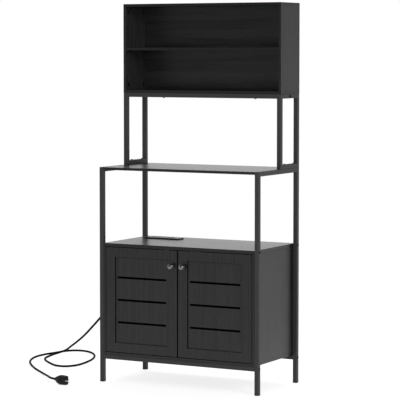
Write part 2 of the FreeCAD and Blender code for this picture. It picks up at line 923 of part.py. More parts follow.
def hutch_sides():
    panel = board("hutch_side", (0 * width, size.board_thin), (size.hutch_front, hutch_back_front),
                  (hutch_floor_top, hutch_roof_base))
    bores = []
    for y in hutch_cams_y:
        bores += cam_bores(size.board_thin, hutch_side_middle, y, hutch_floor_top, "+Z")
        bores += cam_bores(size.board_thin, hutch_side_middle, y, hutch_roof_base, "-Z")
    for y in hutch_pins_y:
        bores.append(rod((size.board_thin, y, hutch_shelf_base - size.pin_head / 2), "-X",
                         size.pin_bite + size.screw_play, size.pin + size.screw_play))
    for z in hutch_back_screws_z:
        bores.append(rod((hutch_side_middle, hutch_back_front, z), "-Y", size.board_thin, small_bore))
    left = named("hutch_left_side", cut(panel, bores))
    named("hutch_right_side", mirrored(left))


def sunk_hole(x, z):
    """A countersunk hole through the hutch's back, from behind."""
    return [
        rod((x, depth + past, z), "-Y", size.board_thin + 2 * past, small_bore),
        cone((x, depth, z), "-Y", size.small_head_height + size.screw_play,
             size.small_head + 2 * size.screw_play, small_bore),
    ]


def hutch_back():
    panel = board("hutch_back", (0 * width, width), (hutch_back_front, depth),
                  (hutch_floor_top, hutch_roof_base))
    holes = []
    for z in hutch_back_screws_z:
        holes += sunk_hole(hutch_side_middle, z)
    for x in hutch_shelf_screws_x:
        holes += sunk_hole(x, hutch_shelf_middle)
    named("hutch_back", cut(panel, *both_sides(holes)))


def hutch_shelf():
    inset = size.board_thin + size.shelf_play
    slab = board("hutch_shelf", (inset, width - inset), (size.hutch_front, hutch_back_front),
                 (hutch_shelf_base, hutch_shelf_base + size.board_thin))
    holes = [rod((x, hutch_back_front, hutch_shelf_middle), "-Y", size.board_thin, small_bore)
             for x in hutch_shelf_screws_x]
    named("hutch_shelf", cut(slab, *both_sides(holes)))


def hutch_top():
    slab = board("hutch_top", (0 * width, width), (size.hutch_front, depth),
                 (hutch_roof_base, size.rack_height))
    left = [bolt_pilot(hutch_side_middle, y, hutch_roof_base, "+Z") for y in hutch_cams_y]
    named("hutch_top", cut(slab, *both_sides(left)))


hutch_bottom()
hutch_sides()
hutch_back()
hutch_shelf()
hutch_top()


# Doors

def slot_outline(sketch):
    """The lowest slot of the door, one pitch below the sketch's origin, with round ends."""
    radius = size.slot_height / 2
    half = (size.slot_length - size.slot_height) / 2
    low = -float(size.slot_pitch)
    normal = Vector(0, 0, 1)
    reach = float(half)
    circle_left = Part.Circle(Vector(-reach, low, 0), normal, float(radius))
    circle_right = Part.Circle(Vector(reach, low, 0), normal, float(radius))
    left = sketch.addGeometry(Part.ArcOfCircle(circle_left, math.pi / 2, 3 * math.pi / 2))
    right = sketch.addGeometry(Part.ArcOfCircle(circle_right, -math.pi / 2, math.pi / 2))
    lines = []
    for level in (low + float(radius), low - float(radius)):
        side = Part.LineSegment(Vector(-reach, level, 0), Vector(reach, level, 0))
        lines.append(sketch.addGeometry(side))
    upper, lower = lines
    for ends in ((left, 1, upper, 1), (upper, 2, right, 2), (right, 1, lower, 2), (lower, 1, left, 2)):
        sketch.addConstraint(Sketcher.Constraint("Tangent", *ends))
    sketch.addConstraint(Sketcher.Constraint("Horizontal", upper))
    sketch.addConstraint(Sketcher.Constraint("Equal", left, right))
    dimension(sketch, "Radius", left, value=radius)
    dimension(sketch, "DistanceX", left, 3, *ORIGIN, value=half)
    dimension(sketch, "DistanceX", *ORIGIN, right, 3, value=half)
    dimension(sketch, "DistanceY", left, 3, *ORIGIN, value=size.slot_pitch)


def slotted_panel():
    """The door: one panel, routed back inside its stiles and rails, with three through slots."""
    body = new_body("door")
    front = sketch_on(body, "XZ_Plane")
    rectangle(front, door_width, door_height, centred=True)
    slab = pad(body, front, size.door_thickness, reverse=True)
    chamfer = eased(body, slab, size.board_edge)
    doc.recompute()
    solid = chamfer.Shape.Volume
    field_width = door_width - 2 * size.door_stile
    field_height = door_height - 2 * size.door_rail
    field = sketch_on(body, "XZ_Plane")
    rectangle(field, field_width, field_height, centred=True)
    sunk_into(body, field, size.door_recess)
    border = sketch_on(body, "XZ_Plane")
    rectangle(border, field_width, field_height, centred=True)
    rectangle(border, field_width - 2 * size.door_groove, field_height - 2 * size.door_groove, centred=True)
    recess = sunk_into(body, border, size.door_recess + size.door_groove_depth)
    doc.recompute()
    print("door recess and groove remove", round(solid - recess.Shape.Volume), "mm3")
    slot = sketch_on(body, "XZ_Plane")
    slot_outline(slot)
    opening = pocket_through(body, slot)
    doc.recompute()
    print("one slot removes", round(recess.Shape.Volume - opening.Shape.Volume), "mm3")
    pattern = body.newObject("PartDesign::LinearPattern", "door_slots")
    pattern.Originals = [opening]
    pattern.Direction = (origin_feature(body, "Z_Axis"), [""])
    pattern.Occurrences = 3
    bind(pattern, {"Length": 2 * size.slot_pitch})
    body.Tip = pattern
    doc.recompute()
    print("three slots remove", round(recess.Shape.Volume - pattern.Shape.Volume), "mm3")
    return place(body, ((door_outer + door_inner) / 2, 0 * depth, (door_base + door_top) / 2))


knob_x = door_inner - size.knob_inset
strike_z = (size.cabinet_top_base - size.catch_height - size.strike_height / 4,
            door_top - size.board_edge * 2)
strike_middle = (strike_z[0] + strike_z[1]) / 2
strike_bite = size.door_thickness - size.door_recess


def doors():
    tools = mortise(door_top - size.hinge_leaf, door_top + past)
    tools += mortise(door_base - past, door_base + size.hinge_leaf)
    tools += leaf_screw_bores(door_top - size.hinge_leaf, "-Z")
    tools += leaf_screw_bores(door_base + size.hinge_leaf, "+Z")
    tools.append(rod((knob_x, 0 - past, size.knob_centre), "+Y",
                     size.door_thickness + 2 * past, size.knob_screw + size.screw_play))
    for x in catch_screws_x:
        tools.append(rod((x, size.door_thickness, strike_middle), "-Y", strike_bite, small_bore))
    left = named("left_door", cut(slotted_panel(), tools))
    named("right_door", mirrored(left))


doors()


def knobs():
    """A mushroom knob: base disc, waisted neck and a flattened round head."""
    head = doc.addObject("Part::Ellipsoid", "knob_head")
    half = size.knob_head_height / 2
    bind(head, {"Radius1": half, "Radius2": size.knob_head / 2, "Radius3": size.knob_head / 2})
    place(head, (knob_x, half - size.knob_reach, size.knob_centre), "-Y")
    base = rod((knob_x, 0 * depth, size.knob_centre), "-Y", size.knob_base_height, size.knob_base)
    flare = cone((knob_x, 0 - size.knob_base_height, size.knob_centre), "-Y",
                 size.knob_base_height, size.knob_base - size.knob_base_height, size.knob_neck)
    neck = rod((knob_x, 0 * depth, size.knob_centre), "-Y",
               size.knob_reach - half, size.knob_neck)
    bore = rod((knob_x, past, size.knob_centre), "-Y", size.knob_screw_bite + 2 * past,
               size.knob_screw + size.screw_play)
    left = named("left_knob", cut(fused([head, base, flare, neck]), [bore]))
    named("right_knob", mirrored(left))


knobs()


# Knife hinges

def pivot_bore(low, high):
    return rod((hinge_x, hinge_y, low - past), "+Z", high - low + 2 * past,
               size.hinge_pin + size.hinge_play)


def sunk_screw_holes(low, turn):
    """Countersunk holes in a leaf; the screw head is flush with the side that it enters."""
    holes = []
    for x in leaf_screws_x:
        holes.append(cone((x, leaf_middle_y, low), turn, size.hinge_leaf,
                          size.small_head + size.screw_play, small_bore))
    return holes


def leaf(low, face, turn):
    """One leaf between a low and a high face; its screws go in from the given face."""
    high = low + size.hinge_leaf
    return cut(fused(leaf_form(low, high, 0)),
               [pivot_bore(low, high)] + sunk_screw_holes(face, turn))


def hinge_leaves():
    """Two leaves on each door and, facing them, two in the cabinet."""
    upper = leaf(door_top - size.hinge_leaf, door_top, "-Z")
    lower = leaf(door_base, door_base, "+Z")
    pair = doc.addObject("Part::Compound", "door_leaves")
    pair.Links = [upper, lower]
    named("left_door_hinge_leaves", pair)
    named("right_door_hinge_leaves", mirrored(pair))
    top = leaf(size.cabinet_top_base, size.cabinet_top_base, "+Z")
    bottom = leaf(floor_top - size.hinge_leaf, floor_top, "-Z")
    group = doc.addObject("Part::Compound", "fixed_leaves")
    group.Links = [top, bottom, mirrored(top), mirrored(bottom)]
    named("cabinet_hinge_leaves", group)


def hinge_pins():
    """Pins through both leaves of each hinge, with a collar that keeps the leaves apart."""
    pins = []
    for start, turn in ((size.cabinet_top_base + size.hinge_leaf, "-Z"),
                        (floor_top - size.hinge_leaf, "+Z")):
        length = 2 * size.hinge_leaf + size.door_end_gap
        shaft = rod((hinge_x, hinge_y, start), turn, length, size.hinge_pin)
        step = size.hinge_leaf + size.hinge_play / 2
        collar_start = start - step if turn == "-Z" else start + step
        collar = rod((hinge_x, hinge_y, collar_start), turn,
                     size.door_end_gap - size.hinge_play, size.hinge_collar)
        pin = fused([shaft, collar])
        pins += [pin, mirrored(pin)]
    group = doc.addObject("Part::Compound", "pins")
    group.Links = pins
    named("hinge_pins", group)


hinge_leaves()
hinge_pins()


# Magnetic catches and their strike plates

def catches():
    """A housing screwed under the cabinet top, with two steel poles in its open front."""
    low = size.cabinet_top_base - size.catch_height
    housing = block((catch_x - size.catch_length / 2, catch_x + size.catch_length / 2),
                    (catch_front, catch_front + size.catch_depth), (low, size.cabinet_top_base))
    half = size.pole_length / 2
    reach = size.catch_depth * CATCH_MOUTH
    middle = low + size.catch_height / 2
    spread = size.pole_spacing / 2 + size.pole_thickness
    mouth = block((catch_x - half, catch_x + half), (catch_front - past, catch_front + reach),
                  (middle - spread, middle + spread))
    screws = [rod((x, catch_middle_y, low - past), "+Z", size.catch_height + 2 * past, small_bore)
              for x in catch_screws_x]
    case = cut(housing, [mouth] + screws)
    pieces = [case]
    for level in (middle - spread, middle + size.pole_spacing / 2):
        pieces.append(block((catch_x - half, catch_x + half), (catch_front, catch_front + reach),
                            (level, level + size.pole_thickness)))
    pieces.append(block((catch_x - half, catch_x + half),
                        (catch_front + size.pole_thickness, catch_front + reach),
                        (middle - size.pole_spacing / 2, middle + size.pole_spacing / 2)))
    group = doc.addObject("Part::Compound", "catches")
    group.Links = pieces + [mirrored(piece) for piece in pieces]
    named("magnetic_catches", group)


def strike_plates():
    plate = block((catch_x - size.catch_length / 2, catch_x + size.catch_length / 2),
                  (size.door_thickness, size.door_thickness + size.strike_thickness), strike_z)
    face = size.door_thickness + size.strike_thickness
    holes = [cone((x, face, strike_middle), "-Y", size.strike_thickness,
                  size.small_head + size.screw_play, small_bore) for x in catch_screws_x]
    left = named("left_strike_plate", cut(plate, holes))
    named("right_strike_plate", mirrored(left))


catches()
strike_plates()


# Outlet

socket_left = size.outlet_left + (size.outlet_width - 2 * size.socket_pitch - size.usb_width) / 2
socket_y = (outlet_middle_y - size.socket_depth / 2, outlet_middle_y + size.socket_depth / 2)
socket_top = cabinet_top_level + size.outlet_rise - size.socket_sink
insert_spans = [
    (socket_left, socket_left + size.socket_width),
    (socket_left + size.socket_pitch, socket_left + size.socket_pitch + size.socket_width),
    (socket_left + 2 * size.socket_pitch, socket_left + 2 * size.socket_pitch + size.usb_width),
]


def outlet_bezel():
    body = new_body("outlet_bezel")
    face = sketch_on(body, "XY_Plane")
    rectangle(face, size.outlet_width, size.outlet_depth, centred=False)
    slab = pad(body, face, size.outlet_rise)
    doc.recompute()
    corners = rounded(body, slab, edges_where(slab, lambda at, along: abs(along.z) > 0.9),
                      size.outlet_corner)
    doc.recompute()
    rim = float(size.outlet_rise) - 0.01
    rounded(body, corners, edges_where(corners, lambda at, along: at.z > rim), size.outlet_edge)
    place(body, (size.outlet_left, size.outlet_front, cabinet_top_level))
    play = size.plug_play
    windows = [block((x[0] - play, x[1] + play), (socket_y[0] - play, socket_y[1] + play),
                     (cabinet_top_level - past, cabinet_top_level + size.outlet_rise + past))
               for x in insert_spans]
    named("outlet_bezel", cut(body, windows))


def outlet_housing():
    """A box below the board, open at the top, with a spout that leads the cord to the side."""
    low = cabinet_top_level - size.housing_drop
    body = new_body("outlet_housing")
    face = sketch_on(body, "XY_Plane")
    rectangle(face, housing_x[1] - housing_x[0], housing_y[1] - housing_y[0], centred=False)
    shell = pad(body, face, size.housing_drop)
    doc.recompute()
    rounded(body, shell, edges_where(shell, lambda at, along: abs(along.z) > 0.9 or at.z < 0.01),
            size.housing_corner - size.housing_wall)
    place(body, (housing_x[0], housing_y[0], low))
    wall = size.housing_wall
    cavity = block((housing_x[0] + wall, housing_x[1] - wall), (housing_y[0] + wall, housing_y[1] - wall),
                   (low + wall, cabinet_top_level + past))
    spout = rod((side_inner, outlet_middle_y, cord_exit_level), "+X",
                housing_x[0] - side_inner + wall / 2, size.spout)
    bore = rod((side_inner - past, outlet_middle_y, cord_exit_level), "+X",
               housing_x[0] - side_inner + 3 * wall, size.cord + size.screw_play)
    named("outlet_housing", cut(fused([body, spout]), [cavity, bore]))


def outlet_sockets():
    """Two earthed sockets and a block of two low-voltage ports."""
    deep = size.socket_slot_depth
    slot_half = (size.blade_thickness + size.blade_play) / 2
    pieces = []
    for x in insert_spans[:2]:
        middle = (x[0] + x[1]) / 2
        face = block(x, socket_y, (socket_top - size.socket_height, socket_top))
        slots = []
        for side in (-1, 1):
            slot_x = middle + side * size.blade_spacing / 2
            slots.append(block((slot_x - slot_half, slot_x + slot_half),
                               (outlet_middle_y, outlet_middle_y + size.blade_width + size.blade_play),
                               (socket_top - deep, socket_top + past)))
        slots.append(rod((middle, outlet_middle_y - size.ground_hole_offset, socket_top - deep), "+Z",
                         deep + past, size.ground_pin + size.blade_play))
        pieces.append(cut(face, slots))
    x = insert_spans[2]
    middle = (x[0] + x[1]) / 2
    face = block(x, socket_y, (socket_top - size.socket_height, socket_top))
    ports = []
    tongues = []
    tongue_half = size.usb_tongue_width / 2
    for side in (-1, 1):
        port_y = outlet_middle_y + side * size.socket_depth / 4
        ports.append(block((middle - size.usb_port_width / 2, middle + size.usb_port_width / 2),
                           (port_y - size.usb_port_height / 2, port_y + size.usb_port_height / 2),
                           (socket_top - deep, socket_top + past)))
        tongues.append(block((middle - tongue_half, middle + tongue_half),
                             (port_y, port_y + size.usb_tongue_height),
                             (socket_top - deep - past, socket_top - size.socket_sink)))
    pieces.append(fused([cut(face, ports)] + tongues))
    group = doc.addObject("Part::Compound", "sockets")
    group.Links = pieces
    named("outlet_sockets", group)


outlet_bezel()
outlet_housing()
outlet_sockets()


# Power cord

def strain_relief():
    """A neck through the side panel, a flange on its outside and a grooved, tapered sleeve."""
    y = outlet_middle_y
    z = cord_exit_level
    neck = rod((side_inner, y, z), "-X", size.board_thin, size.relief_neck)
    flange = rod((inner_left, y, z), "-X", size.relief_flange_height, size.relief_flange)
    root = inner_left - size.relief_flange_height
    sleeve = cone((root, y, z), "-X", size.relief_length, size.relief_neck + size.relief_flange_height,
                  size.relief_tip)
    grooves = []
    groove = size.relief_groove / 2
    pitch = size.relief_length / (RELIEF_GROOVES + 1)
    for step in range(RELIEF_GROOVES):
        ring = doc.addObject("Part::Torus", "groove")
        bind(ring, {"Radius1": size.relief_tip / 2 + groove, "Radius2": groove})
        grooves.append(place(ring, (root - pitch * (step + 1), y, z), "+X"))
    named("strain_relief", cut(fused([neck, flange, sleeve]), grooves))


def smooth_path(points):
    """Straight runs joined by tangent arcs, each as large as its two runs allow."""
    edges = []
    radii = []
    here = points[0]
    for before, corner, after in zip(points, points[1:], points[2:]):
        back = before - corner
        forth = after - corner
        reach = 0.45 * min(back.Length, forth.Length)
        turn = math.pi - back.getAngle(forth)
        radii.append(reach / math.tan(turn / 2))
        back.normalize()
        forth.normalize()
        start = corner + back * reach
        end = corner + forth * reach
        bisector = back + forth
        bisector.normalize()
        centre_distance = radii[-1] / math.cos(turn / 2)
        middle = corner + bisector * (centre_distance - radii[-1])
        edges.append(Part.LineSegment(here, start).toShape())
        edges.append(Part.Arc(start, middle, end).toShape())
        here = end
    edges.append(Part.LineSegment(here, points[-1]).toShape())
    return Part.Wire(edges), radii


def power_cord():
    start_x = inner_left - size.relief_flange_height - size.relief_length
    lead = [(start_x, outlet_middle_y, cord_exit_level),
            (start_x - size.cord_lead, outlet_middle_y, cord_exit_level)]
    points = [spot(as_size(x), as_size(y), as_size(z)) for x, y, z in lead + CORD_ROUTE]
    path, radii = smooth_path(points)
    radius = float(size.cord) / 2
    ring = Part.Wire(Part.makeCircle(radius, points[0], points[1] - points[0]))
    tube_shape = path.makePipeShell([ring], True, False)
    expected = math.pi * radius ** 2 * path.Length
    print("cord length", round(path.Length), "mm, least radius", round(min(radii), 1), "mm")
    print("cord radii", [round(radius_here) for radius_here in radii])
    print("cord volume", round(tube_shape.Volume), "mm3, section times length", round(expected))
    fixed_shape("power_cord", [tube_shape])


def rounded_section(station, high, thick, corner):
    """A rectangle with round corners, square to the plug's own X."""
    h = high / 2
    t = thick / 2
    diagonal = corner * (1 - math.sqrt(0.5))
    edges = []
    corners = [(1, 1), (-1, 1), (-1, -1), (1, -1)]
    arcs = []
    for side, up in corners:
        near_top = Vector(station, side * (t - corner), up * h)
        near_side = Vector(station, side * t, up * (h - corner))
        knee = Vector(station, side * (t - diagonal), up * (h - diagonal))
        ends = (near_side, near_top) if side * up > 0 else (near_top, near_side)
        arcs.append((ends[0], knee, ends[1]))
    for index, arc in enumerate(arcs):
        edges.append(Part.Arc(*arc).toShape())
        following = arcs[(index + 1) % 4]
        edges.append(Part.LineSegment(arc[2], following[0]).toShape())
    return Part.Wire(edges)


def plug_place():
    return Placement(spot(*[as_size(value) for value in CORD_ROUTE[-1]]),
                     Rotation(Vector(0, 0, 1), PLUG_HEADING))


def plug():
    """A moulded plug: a short boot, a grip that swells in its middle, two blades, a ground pin."""
    tail = float(size.plug_tail)
    corner = float(size.plug_corner)
    front = float(size.plug_boot_length + size.plug_grip_length)
    boot = float(size.plug_boot_length)
    shoulder = float(size.plug_shoulder)
    round_corner = float(size.plug_tail_corner)
    sections = [
        rounded_section(0, tail, tail, round_corner),
        rounded_section(float(size.plug_shoulder_place), shoulder, shoulder, round_corner),
        rounded_section(boot, float(size.plug_grip_rear), float(size.plug_rear_thickness), corner),
        rounded_section(float(size.plug_swell_place), float(size.plug_swell),
                        float(size.plug_swell_thickness), corner),
        rounded_section(front - corner / 2, float(size.plug_front), float(size.plug_thickness), corner),
        rounded_section(front, float(size.plug_front) - corner / 2,
                        float(size.plug_thickness) - corner / 2, corner),
    ]
    body = Part.makeLoft(sections, True, True)
    feature = fixed_shape("plug_body", [body])
    feature.Placement = plug_place()
    length = float(size.blade_length)
    wide = float(size.blade_width)
    thick = float(size.blade_thickness)
    seat = float(size.blade_seat)
    metal = []
    for side in (-1, 1):
        level = side * float(size.blade_spacing) / 2
        blade = Part.makeBox(length, wide, thick, Vector(front, seat - wide / 2, level - thick / 2))
        tips = [edge for edge in blade.Edges
                if edge.CenterOfMass.x > front + length - 0.01 and abs(edge.CenterOfMass.z - level) < 0.01]
        blade = blade.makeChamfer(wide / 4, tips)
        hole = Part.makeCylinder(float(size.blade_hole) / 2, thick * 2,
                                 Vector(front + float(size.blade_hole_place), seat, level - thick))
        metal.append(blade.cut(hole))
    pin_length = float(size.ground_pin_length)
    pin_radius = float(size.ground_pin) / 2
    pin_y = seat - float(size.ground_pin_offset)
    pin = Part.makeCylinder(pin_radius, pin_length - pin_radius, Vector(front, pin_y, 0), Vector(1, 0, 0))
    tip = Part.makeSphere(pin_radius, Vector(front + pin_length - pin_radius, pin_y, 0))
    metal.append(pin.fuse(tip).removeSplitter())
    feature = fixed_shape("plug_blades", metal)
    feature.Placement = plug_place()


strain_relief()
power_cord()
plug()


# Fasteners: each kind is made once, standing on the origin and pointing along +Z into its board

DIRECTIONS = {
    "+X": Vector(1, 0, 0),
    "-X": Vector(-1, 0, 0),
    "+Y": Vector(0, 1, 0),
    "-Y": Vector(0, -1, 0),
    "+Z": Vector(0, 0, 1),
    "-Z": Vector(0, 0, -1),
}
UP = Vector(0, 0, 1)


def button_bolt(length):
    """A button-head bolt with a hexagon socket; its head stands below the origin."""
    head_radius = float(size.bolt_head) / 2
    high = float(size.bolt_head_height)
    crown = float(size.bolt_crown) / 2
    rim = float(size.bolt_head_rim)
    shoulder = (crown + head_radius) / 2
    shoulder_level = rim + (high - rim) * DOME_RISE
    profile = Part.Wire([
        Part.LineSegment(Vector(0, 0, 0), Vector(head_radius, 0, 0)).toShape(),
        Part.LineSegment(Vector(head_radius, 0, 0), Vector(head_radius, 0, -rim)).toShape(),
        Part.Arc(Vector(head_radius, 0, -rim), Vector(shoulder, 0, -shoulder_level),
                 Vector(crown, 0, -high)).toShape(),
        Part.LineSegment(Vector(crown, 0, -high), Vector(0, 0, -high)).toShape(),
        Part.LineSegment(Vector(0, 0, -high), Vector(0, 0, 0)).toShape(),
    ])
    head = Part.Face(profile).revolve(Vector(), UP, 360)
    flats = float(size.bolt_socket) / 2 / math.cos(math.pi / 6)
    corners = [Vector(flats * math.cos(step * math.pi / 3), flats * math.sin(step * math.pi / 3), -high - 1)
               for step in range(7)]
    socket = Part.Face(Part.makePolygon(corners)).extrude(UP * (float(size.bolt_socket_depth) + 1))
    shank = Part.makeCylinder(float(size.bolt) / 2, length)
    return head.fuse(shank).cut(socket).removeSplitter()


def pan_screw(diameter, head, high, length):
    shank = Part.makeCylinder(diameter / 2, length)
    dome = Part.makeCone(PAN_CROWN * head / 2, head / 2, high, Vector(0, 0, -high))
    return dome.fuse(shank)


def sunk_screw(diameter, head, high, length):
    """A countersunk screw whose head is flush with the origin."""
    shank = Part.makeCylinder(diameter / 2, length)
    return shank.fuse(Part.makeCone(head / 2, diameter / 2, high))


def put(master, point, direction):
    copy = master.copy()
    copy.Placement = Placement(point, Rotation(UP, DIRECTIONS[direction]))
    return copy


def right_twin(point, direction):
    swapped = {"+X": "-X", "-X": "+X"}
    return Vector(-point.x, point.y, point.z), swapped.get(direction, direction)


def on_both_sides(master, places):
    copies = []
    for point, direction in places:
        copies.append(put(master, point, direction))
        copies.append(put(master, *right_twin(point, direction)))
    return copies


def frame_bolts():
    rail_length = float(side_of_tube + size.rail_insert)
    top_length = float(side_of_tube + size.barrel_nut_inset + size.barrel_nut / 2)
    stack_length = float(side_of_tube + size.rivet_length)
    rail_bolt = button_bolt(rail_length)
    nil = 0 * width
    rail_places = [(spot(nil, y, rail_level), "+X") for y in (tube_middle, rear_middle)]
    rail_places.append((spot(nil, size.cross_rail_centre, hutch_rail_level), "+X"))
    top_places = [(spot(nil, y, top_bolt_level), "+X") for y in (tube_middle, rear_middle)]
    stack_places = [(spot(tube_middle, y, size.frame_top + side_of_tube), "-Z") for y in stack_bolts]
    bolts = on_both_sides(rail_bolt, rail_places)
    bolts += on_both_sides(button_bolt(top_length), top_places)
    bolts += on_both_sides(button_bolt(stack_length), stack_places)
    fixed_shape("frame_bolts", bolts)


def threaded_inserts():
    """Square plugs in the rail ends and rivet nuts in the shelf rails, all with a bolt's bore."""
    wide = float(side_of_tube - 2 * size.tube_wall - size.plug_play)
    long = float(size.rail_insert)
    bore_radius = float(thread_bore) / 2
    plug_block = Part.makeBox(wide, wide, long, Vector(-wide / 2, -wide / 2, 0))
    plug_block = plug_block.cut(Part.makeCylinder(bore_radius, long))
    places = [(spot(inner_left, y, rail_level), "+X") for y in (tube_middle, rear_middle)]
    places.append((spot(inner_left, size.cross_rail_centre, hutch_rail_level), "+X"))
    wall = float(size.tube_wall)
    nut_length = float(size.rivet_length)
    bulge_length = float(size.rivet_bulge_length)
    nut = Part.makeCylinder(float(size.rivet_nut) / 2, nut_length)
    nut = nut.fuse(Part.makeCylinder(float(size.rivet_bulge) / 2, bulge_length, Vector(0, 0, wall)))
    nut = nut.cut(Part.makeCylinder(bore_radius, nut_length))
    nut_places = [(spot(tube_middle, y, size.frame_top), "-Z") for y in stack_bolts]
    fixed_shape("threaded_inserts", on_both_sides(plug_block, places) + on_both_sides(nut, nut_places))


def barrel_nuts():
    long = float(size.barrel_nut)
    nut = Part.makeCylinder(long / 2, long)
    cross = Part.makeCylinder(float(thread_bore) / 2, long, Vector(-long / 2, 0, long / 2), Vector(1, 0, 0))
    nut = nut.cut(cross)
    x = inner_left + size.barrel_nut_inset
    base = top_bolt_level - size.barrel_nut / 2
    places = [(spot(x, y, base), "+Z") for y in (tube_middle, rear_middle)]
    fixed_shape("barrel_nuts", on_both_sides(nut, places))


def board_screws():
    bite = float(size.screw_bite)
    wall = float(size.tube_wall)
    large = (float(size.screw), float(size.screw_head), float(size.screw_head_height))
    small = (float(size.small_screw), float(size.small_head), float(size.small_head_height))
    base_places = [(spot(x, y, rail_top - size.tube_wall), "+Z")
                   for x in base_screws_x for y in (tube_middle, rear_middle)]
    screws = on_both_sides(pan_screw(*large, bite + wall), base_places)
    tab_places_here = [(spot(tab_screw_x, y, tab_top - size.tab_thickness), "+Z") for y in tab_places]
    screws += on_both_sides(pan_screw(*large, bite + float(size.tab_thickness)), tab_places_here)
    long_screw = pan_screw(float(size.screw), float(size.rail_screw_head),
                           float(size.rail_screw_head_height), bite + float(side_of_tube))
    screws += [put(long_screw, spot(x, y, size.hutch_frame_top - side_of_tube), "+Z")
               for x in hutch_screws_x for y in (hutch_front_middle, rear_middle)]
    sunk = sunk_screw(*small, float(size.board_thin) + bite)
    back_places = [(spot(hutch_side_middle, depth, z), "-Y") for z in hutch_back_screws_z]
    back_places += [(spot(x, depth, hutch_shelf_middle), "-Y") for x in hutch_shelf_screws_x]
    screws += on_both_sides(sunk, back_places)
    panel_screw = pan_screw(*small, float(size.back_panel) + bite)
    panel_places = [(spot(side_middle, back_outer, z), "-Y") for z in back_screws_z[1:-1]]
    panel_places += [(spot(x, back_outer, back_screw_floor), "-Y") for x in back_screws_x]
    screws += on_both_sides(panel_screw, panel_places)
    catch_low = size.cabinet_top_base - size.catch_height
    catch_places = [(spot(x, catch_middle_y, catch_low), "+Z") for x in catch_screws_x]
    screws += on_both_sides(pan_screw(*small, bite + float(size.catch_height)), catch_places)
    leaf_screw = sunk_screw(*small, bite)
    leaf_places = [(spot(x, leaf_middle_y, size.cabinet_top_base), "+Z") for x in leaf_screws_x]
    leaf_places += [(spot(x, leaf_middle_y, floor_top), "-Z") for x in leaf_screws_x]
    screws += on_both_sides(leaf_screw, leaf_places)
    fixed_shape("board_screws", screws)


def door_screws():
    bite = float(size.screw_bite)
    small = (float(size.small_screw), float(size.small_head), float(size.small_head_height))
    knob_length = float(size.door_thickness + size.knob_screw_bite)
    knob_screw = pan_screw(float(size.knob_screw), float(size.screw_head),
                           float(size.screw_head_height), knob_length)
    leaf_screw = sunk_screw(*small, bite)
    plate_screw = sunk_screw(float(size.small_screw), float(size.small_head),
                             float(size.strike_thickness), bite)
    places = [(knob_screw, spot(knob_x, size.door_thickness, size.knob_centre), "-Y")]
    for x in leaf_screws_x:
        places.append((leaf_screw, spot(x, leaf_middle_y, door_top), "-Z"))
        places.append((leaf_screw, spot(x, leaf_middle_y, door_base), "+Z"))
    plate_face = size.door_thickness + size.strike_thickness
    for x in catch_screws_x:
        places.append((plate_screw, spot(x, plate_face, strike_middle), "-Y"))
    fixed_shape("left_door_screws", [put(*item) for item in places])
    fixed_shape("right_door_screws",
                [put(master, *right_twin(point, direction)) for master, point, direction in places])


def joint_ends():
    """Every cam joint: board face, direction from that face to the cam, and the side panel."""
    ends = []
    for y in cabinet_cams_y:
        ends.append((side_middle, side_inner, y, floor_top, "+Z", 1))
        ends.append((side_middle, side_inner, y, size.cabinet_top_base, "-Z", -1))
    for y in hutch_cams_y:
        ends.append((hutch_side_middle, size.board_thin, y, hutch_floor_top, "+Z", 1))
        ends.append((hutch_side_middle, size.board_thin, y, hutch_roof_base, "-Z", -1))
    return ends


def cam_fittings():
    reach = float(size.cam_reach)
    bite = float(size.cam_bolt_bite)
    radius = float(size.cam) / 2
    deep = float(size.cam_depth)
    head = float(size.cam_bolt_head)
    bolt_radius = float(size.cam_bolt) / 2
    centre = float(size.board_thin) / 2
    bolt = Part.makeCylinder(bolt_radius, reach + bite, Vector(0, 0, -bite))
    bolt = bolt.fuse(Part.makeCylinder(head / 2, head / 2, Vector(0, 0, reach - head / 4)))
    barrel = Part.makeCylinder(radius, deep)
    gate = Part.makeCylinder(float(size.cam_bolt_bore) / 2, radius + head / 2,
                             Vector(0, -radius, centre), Vector(0, 1, 0))
    wide = float(size.cam_slot)
    slot = Part.makeBox(radius, wide, wide, Vector(-radius / 2, -wide / 2, 0))
    cross = Part.makeBox(wide, radius, wide, Vector(-wide / 2, -radius / 2, 0))
    cam = barrel.cut(gate).cut(slot).cut(cross)
    bolts = []
    cams = []
    for x_middle, x_inner, y, level, direction, sign in joint_ends():
        start = spot(x_middle, y, level)
        bolts.append(put(bolt, start, direction))
        bolts.append(put(bolt, *right_twin(start, direction)))
        seat = spot(x_inner, y, level + sign * size.cam_reach)
        # The cam's own +Z goes into the panel, and its gate, on its own -Y, faces the bolt.
        for twin in (1, -1):
            into = Vector(-twin, 0, 0)
            gate_side = Vector(0, 0, -sign)
            turn = Rotation(Vector(), gate_side * -1, into, "ZYX")
            copy = cam.copy()
            copy.Placement = Placement(Vector(twin * seat.x, seat.y, seat.z), turn)
            cams.append(copy)
    fixed_shape("cam_bolts", bolts)
    fixed_shape("cam_locks", cams)


def shelf_pins():
    pin = Part.makeCylinder(float(size.pin) / 2, float(size.pin_bite))
    knob = Part.makeCylinder(float(size.pin_head) / 2, float(size.pin_reach),
                             Vector(0, 0, -float(size.pin_reach)))
    pin = pin.fuse(knob)
    half = size.pin_head / 2
    places = [(spot(side_inner, y, size.cabinet_shelf_base - half), "-X") for y in cabinet_pins_y]
    places += [(spot(size.board_thin, y, hutch_shelf_base - half), "-X") for y in hutch_pins_y]
    fixed_shape("shelf_pins", on_both_sides(pin, places))


frame_bolts()
threaded_inserts()
barrel_nuts()
board_screws()
door_screws()
cam_fittings()
shelf_pins()


# Check and write

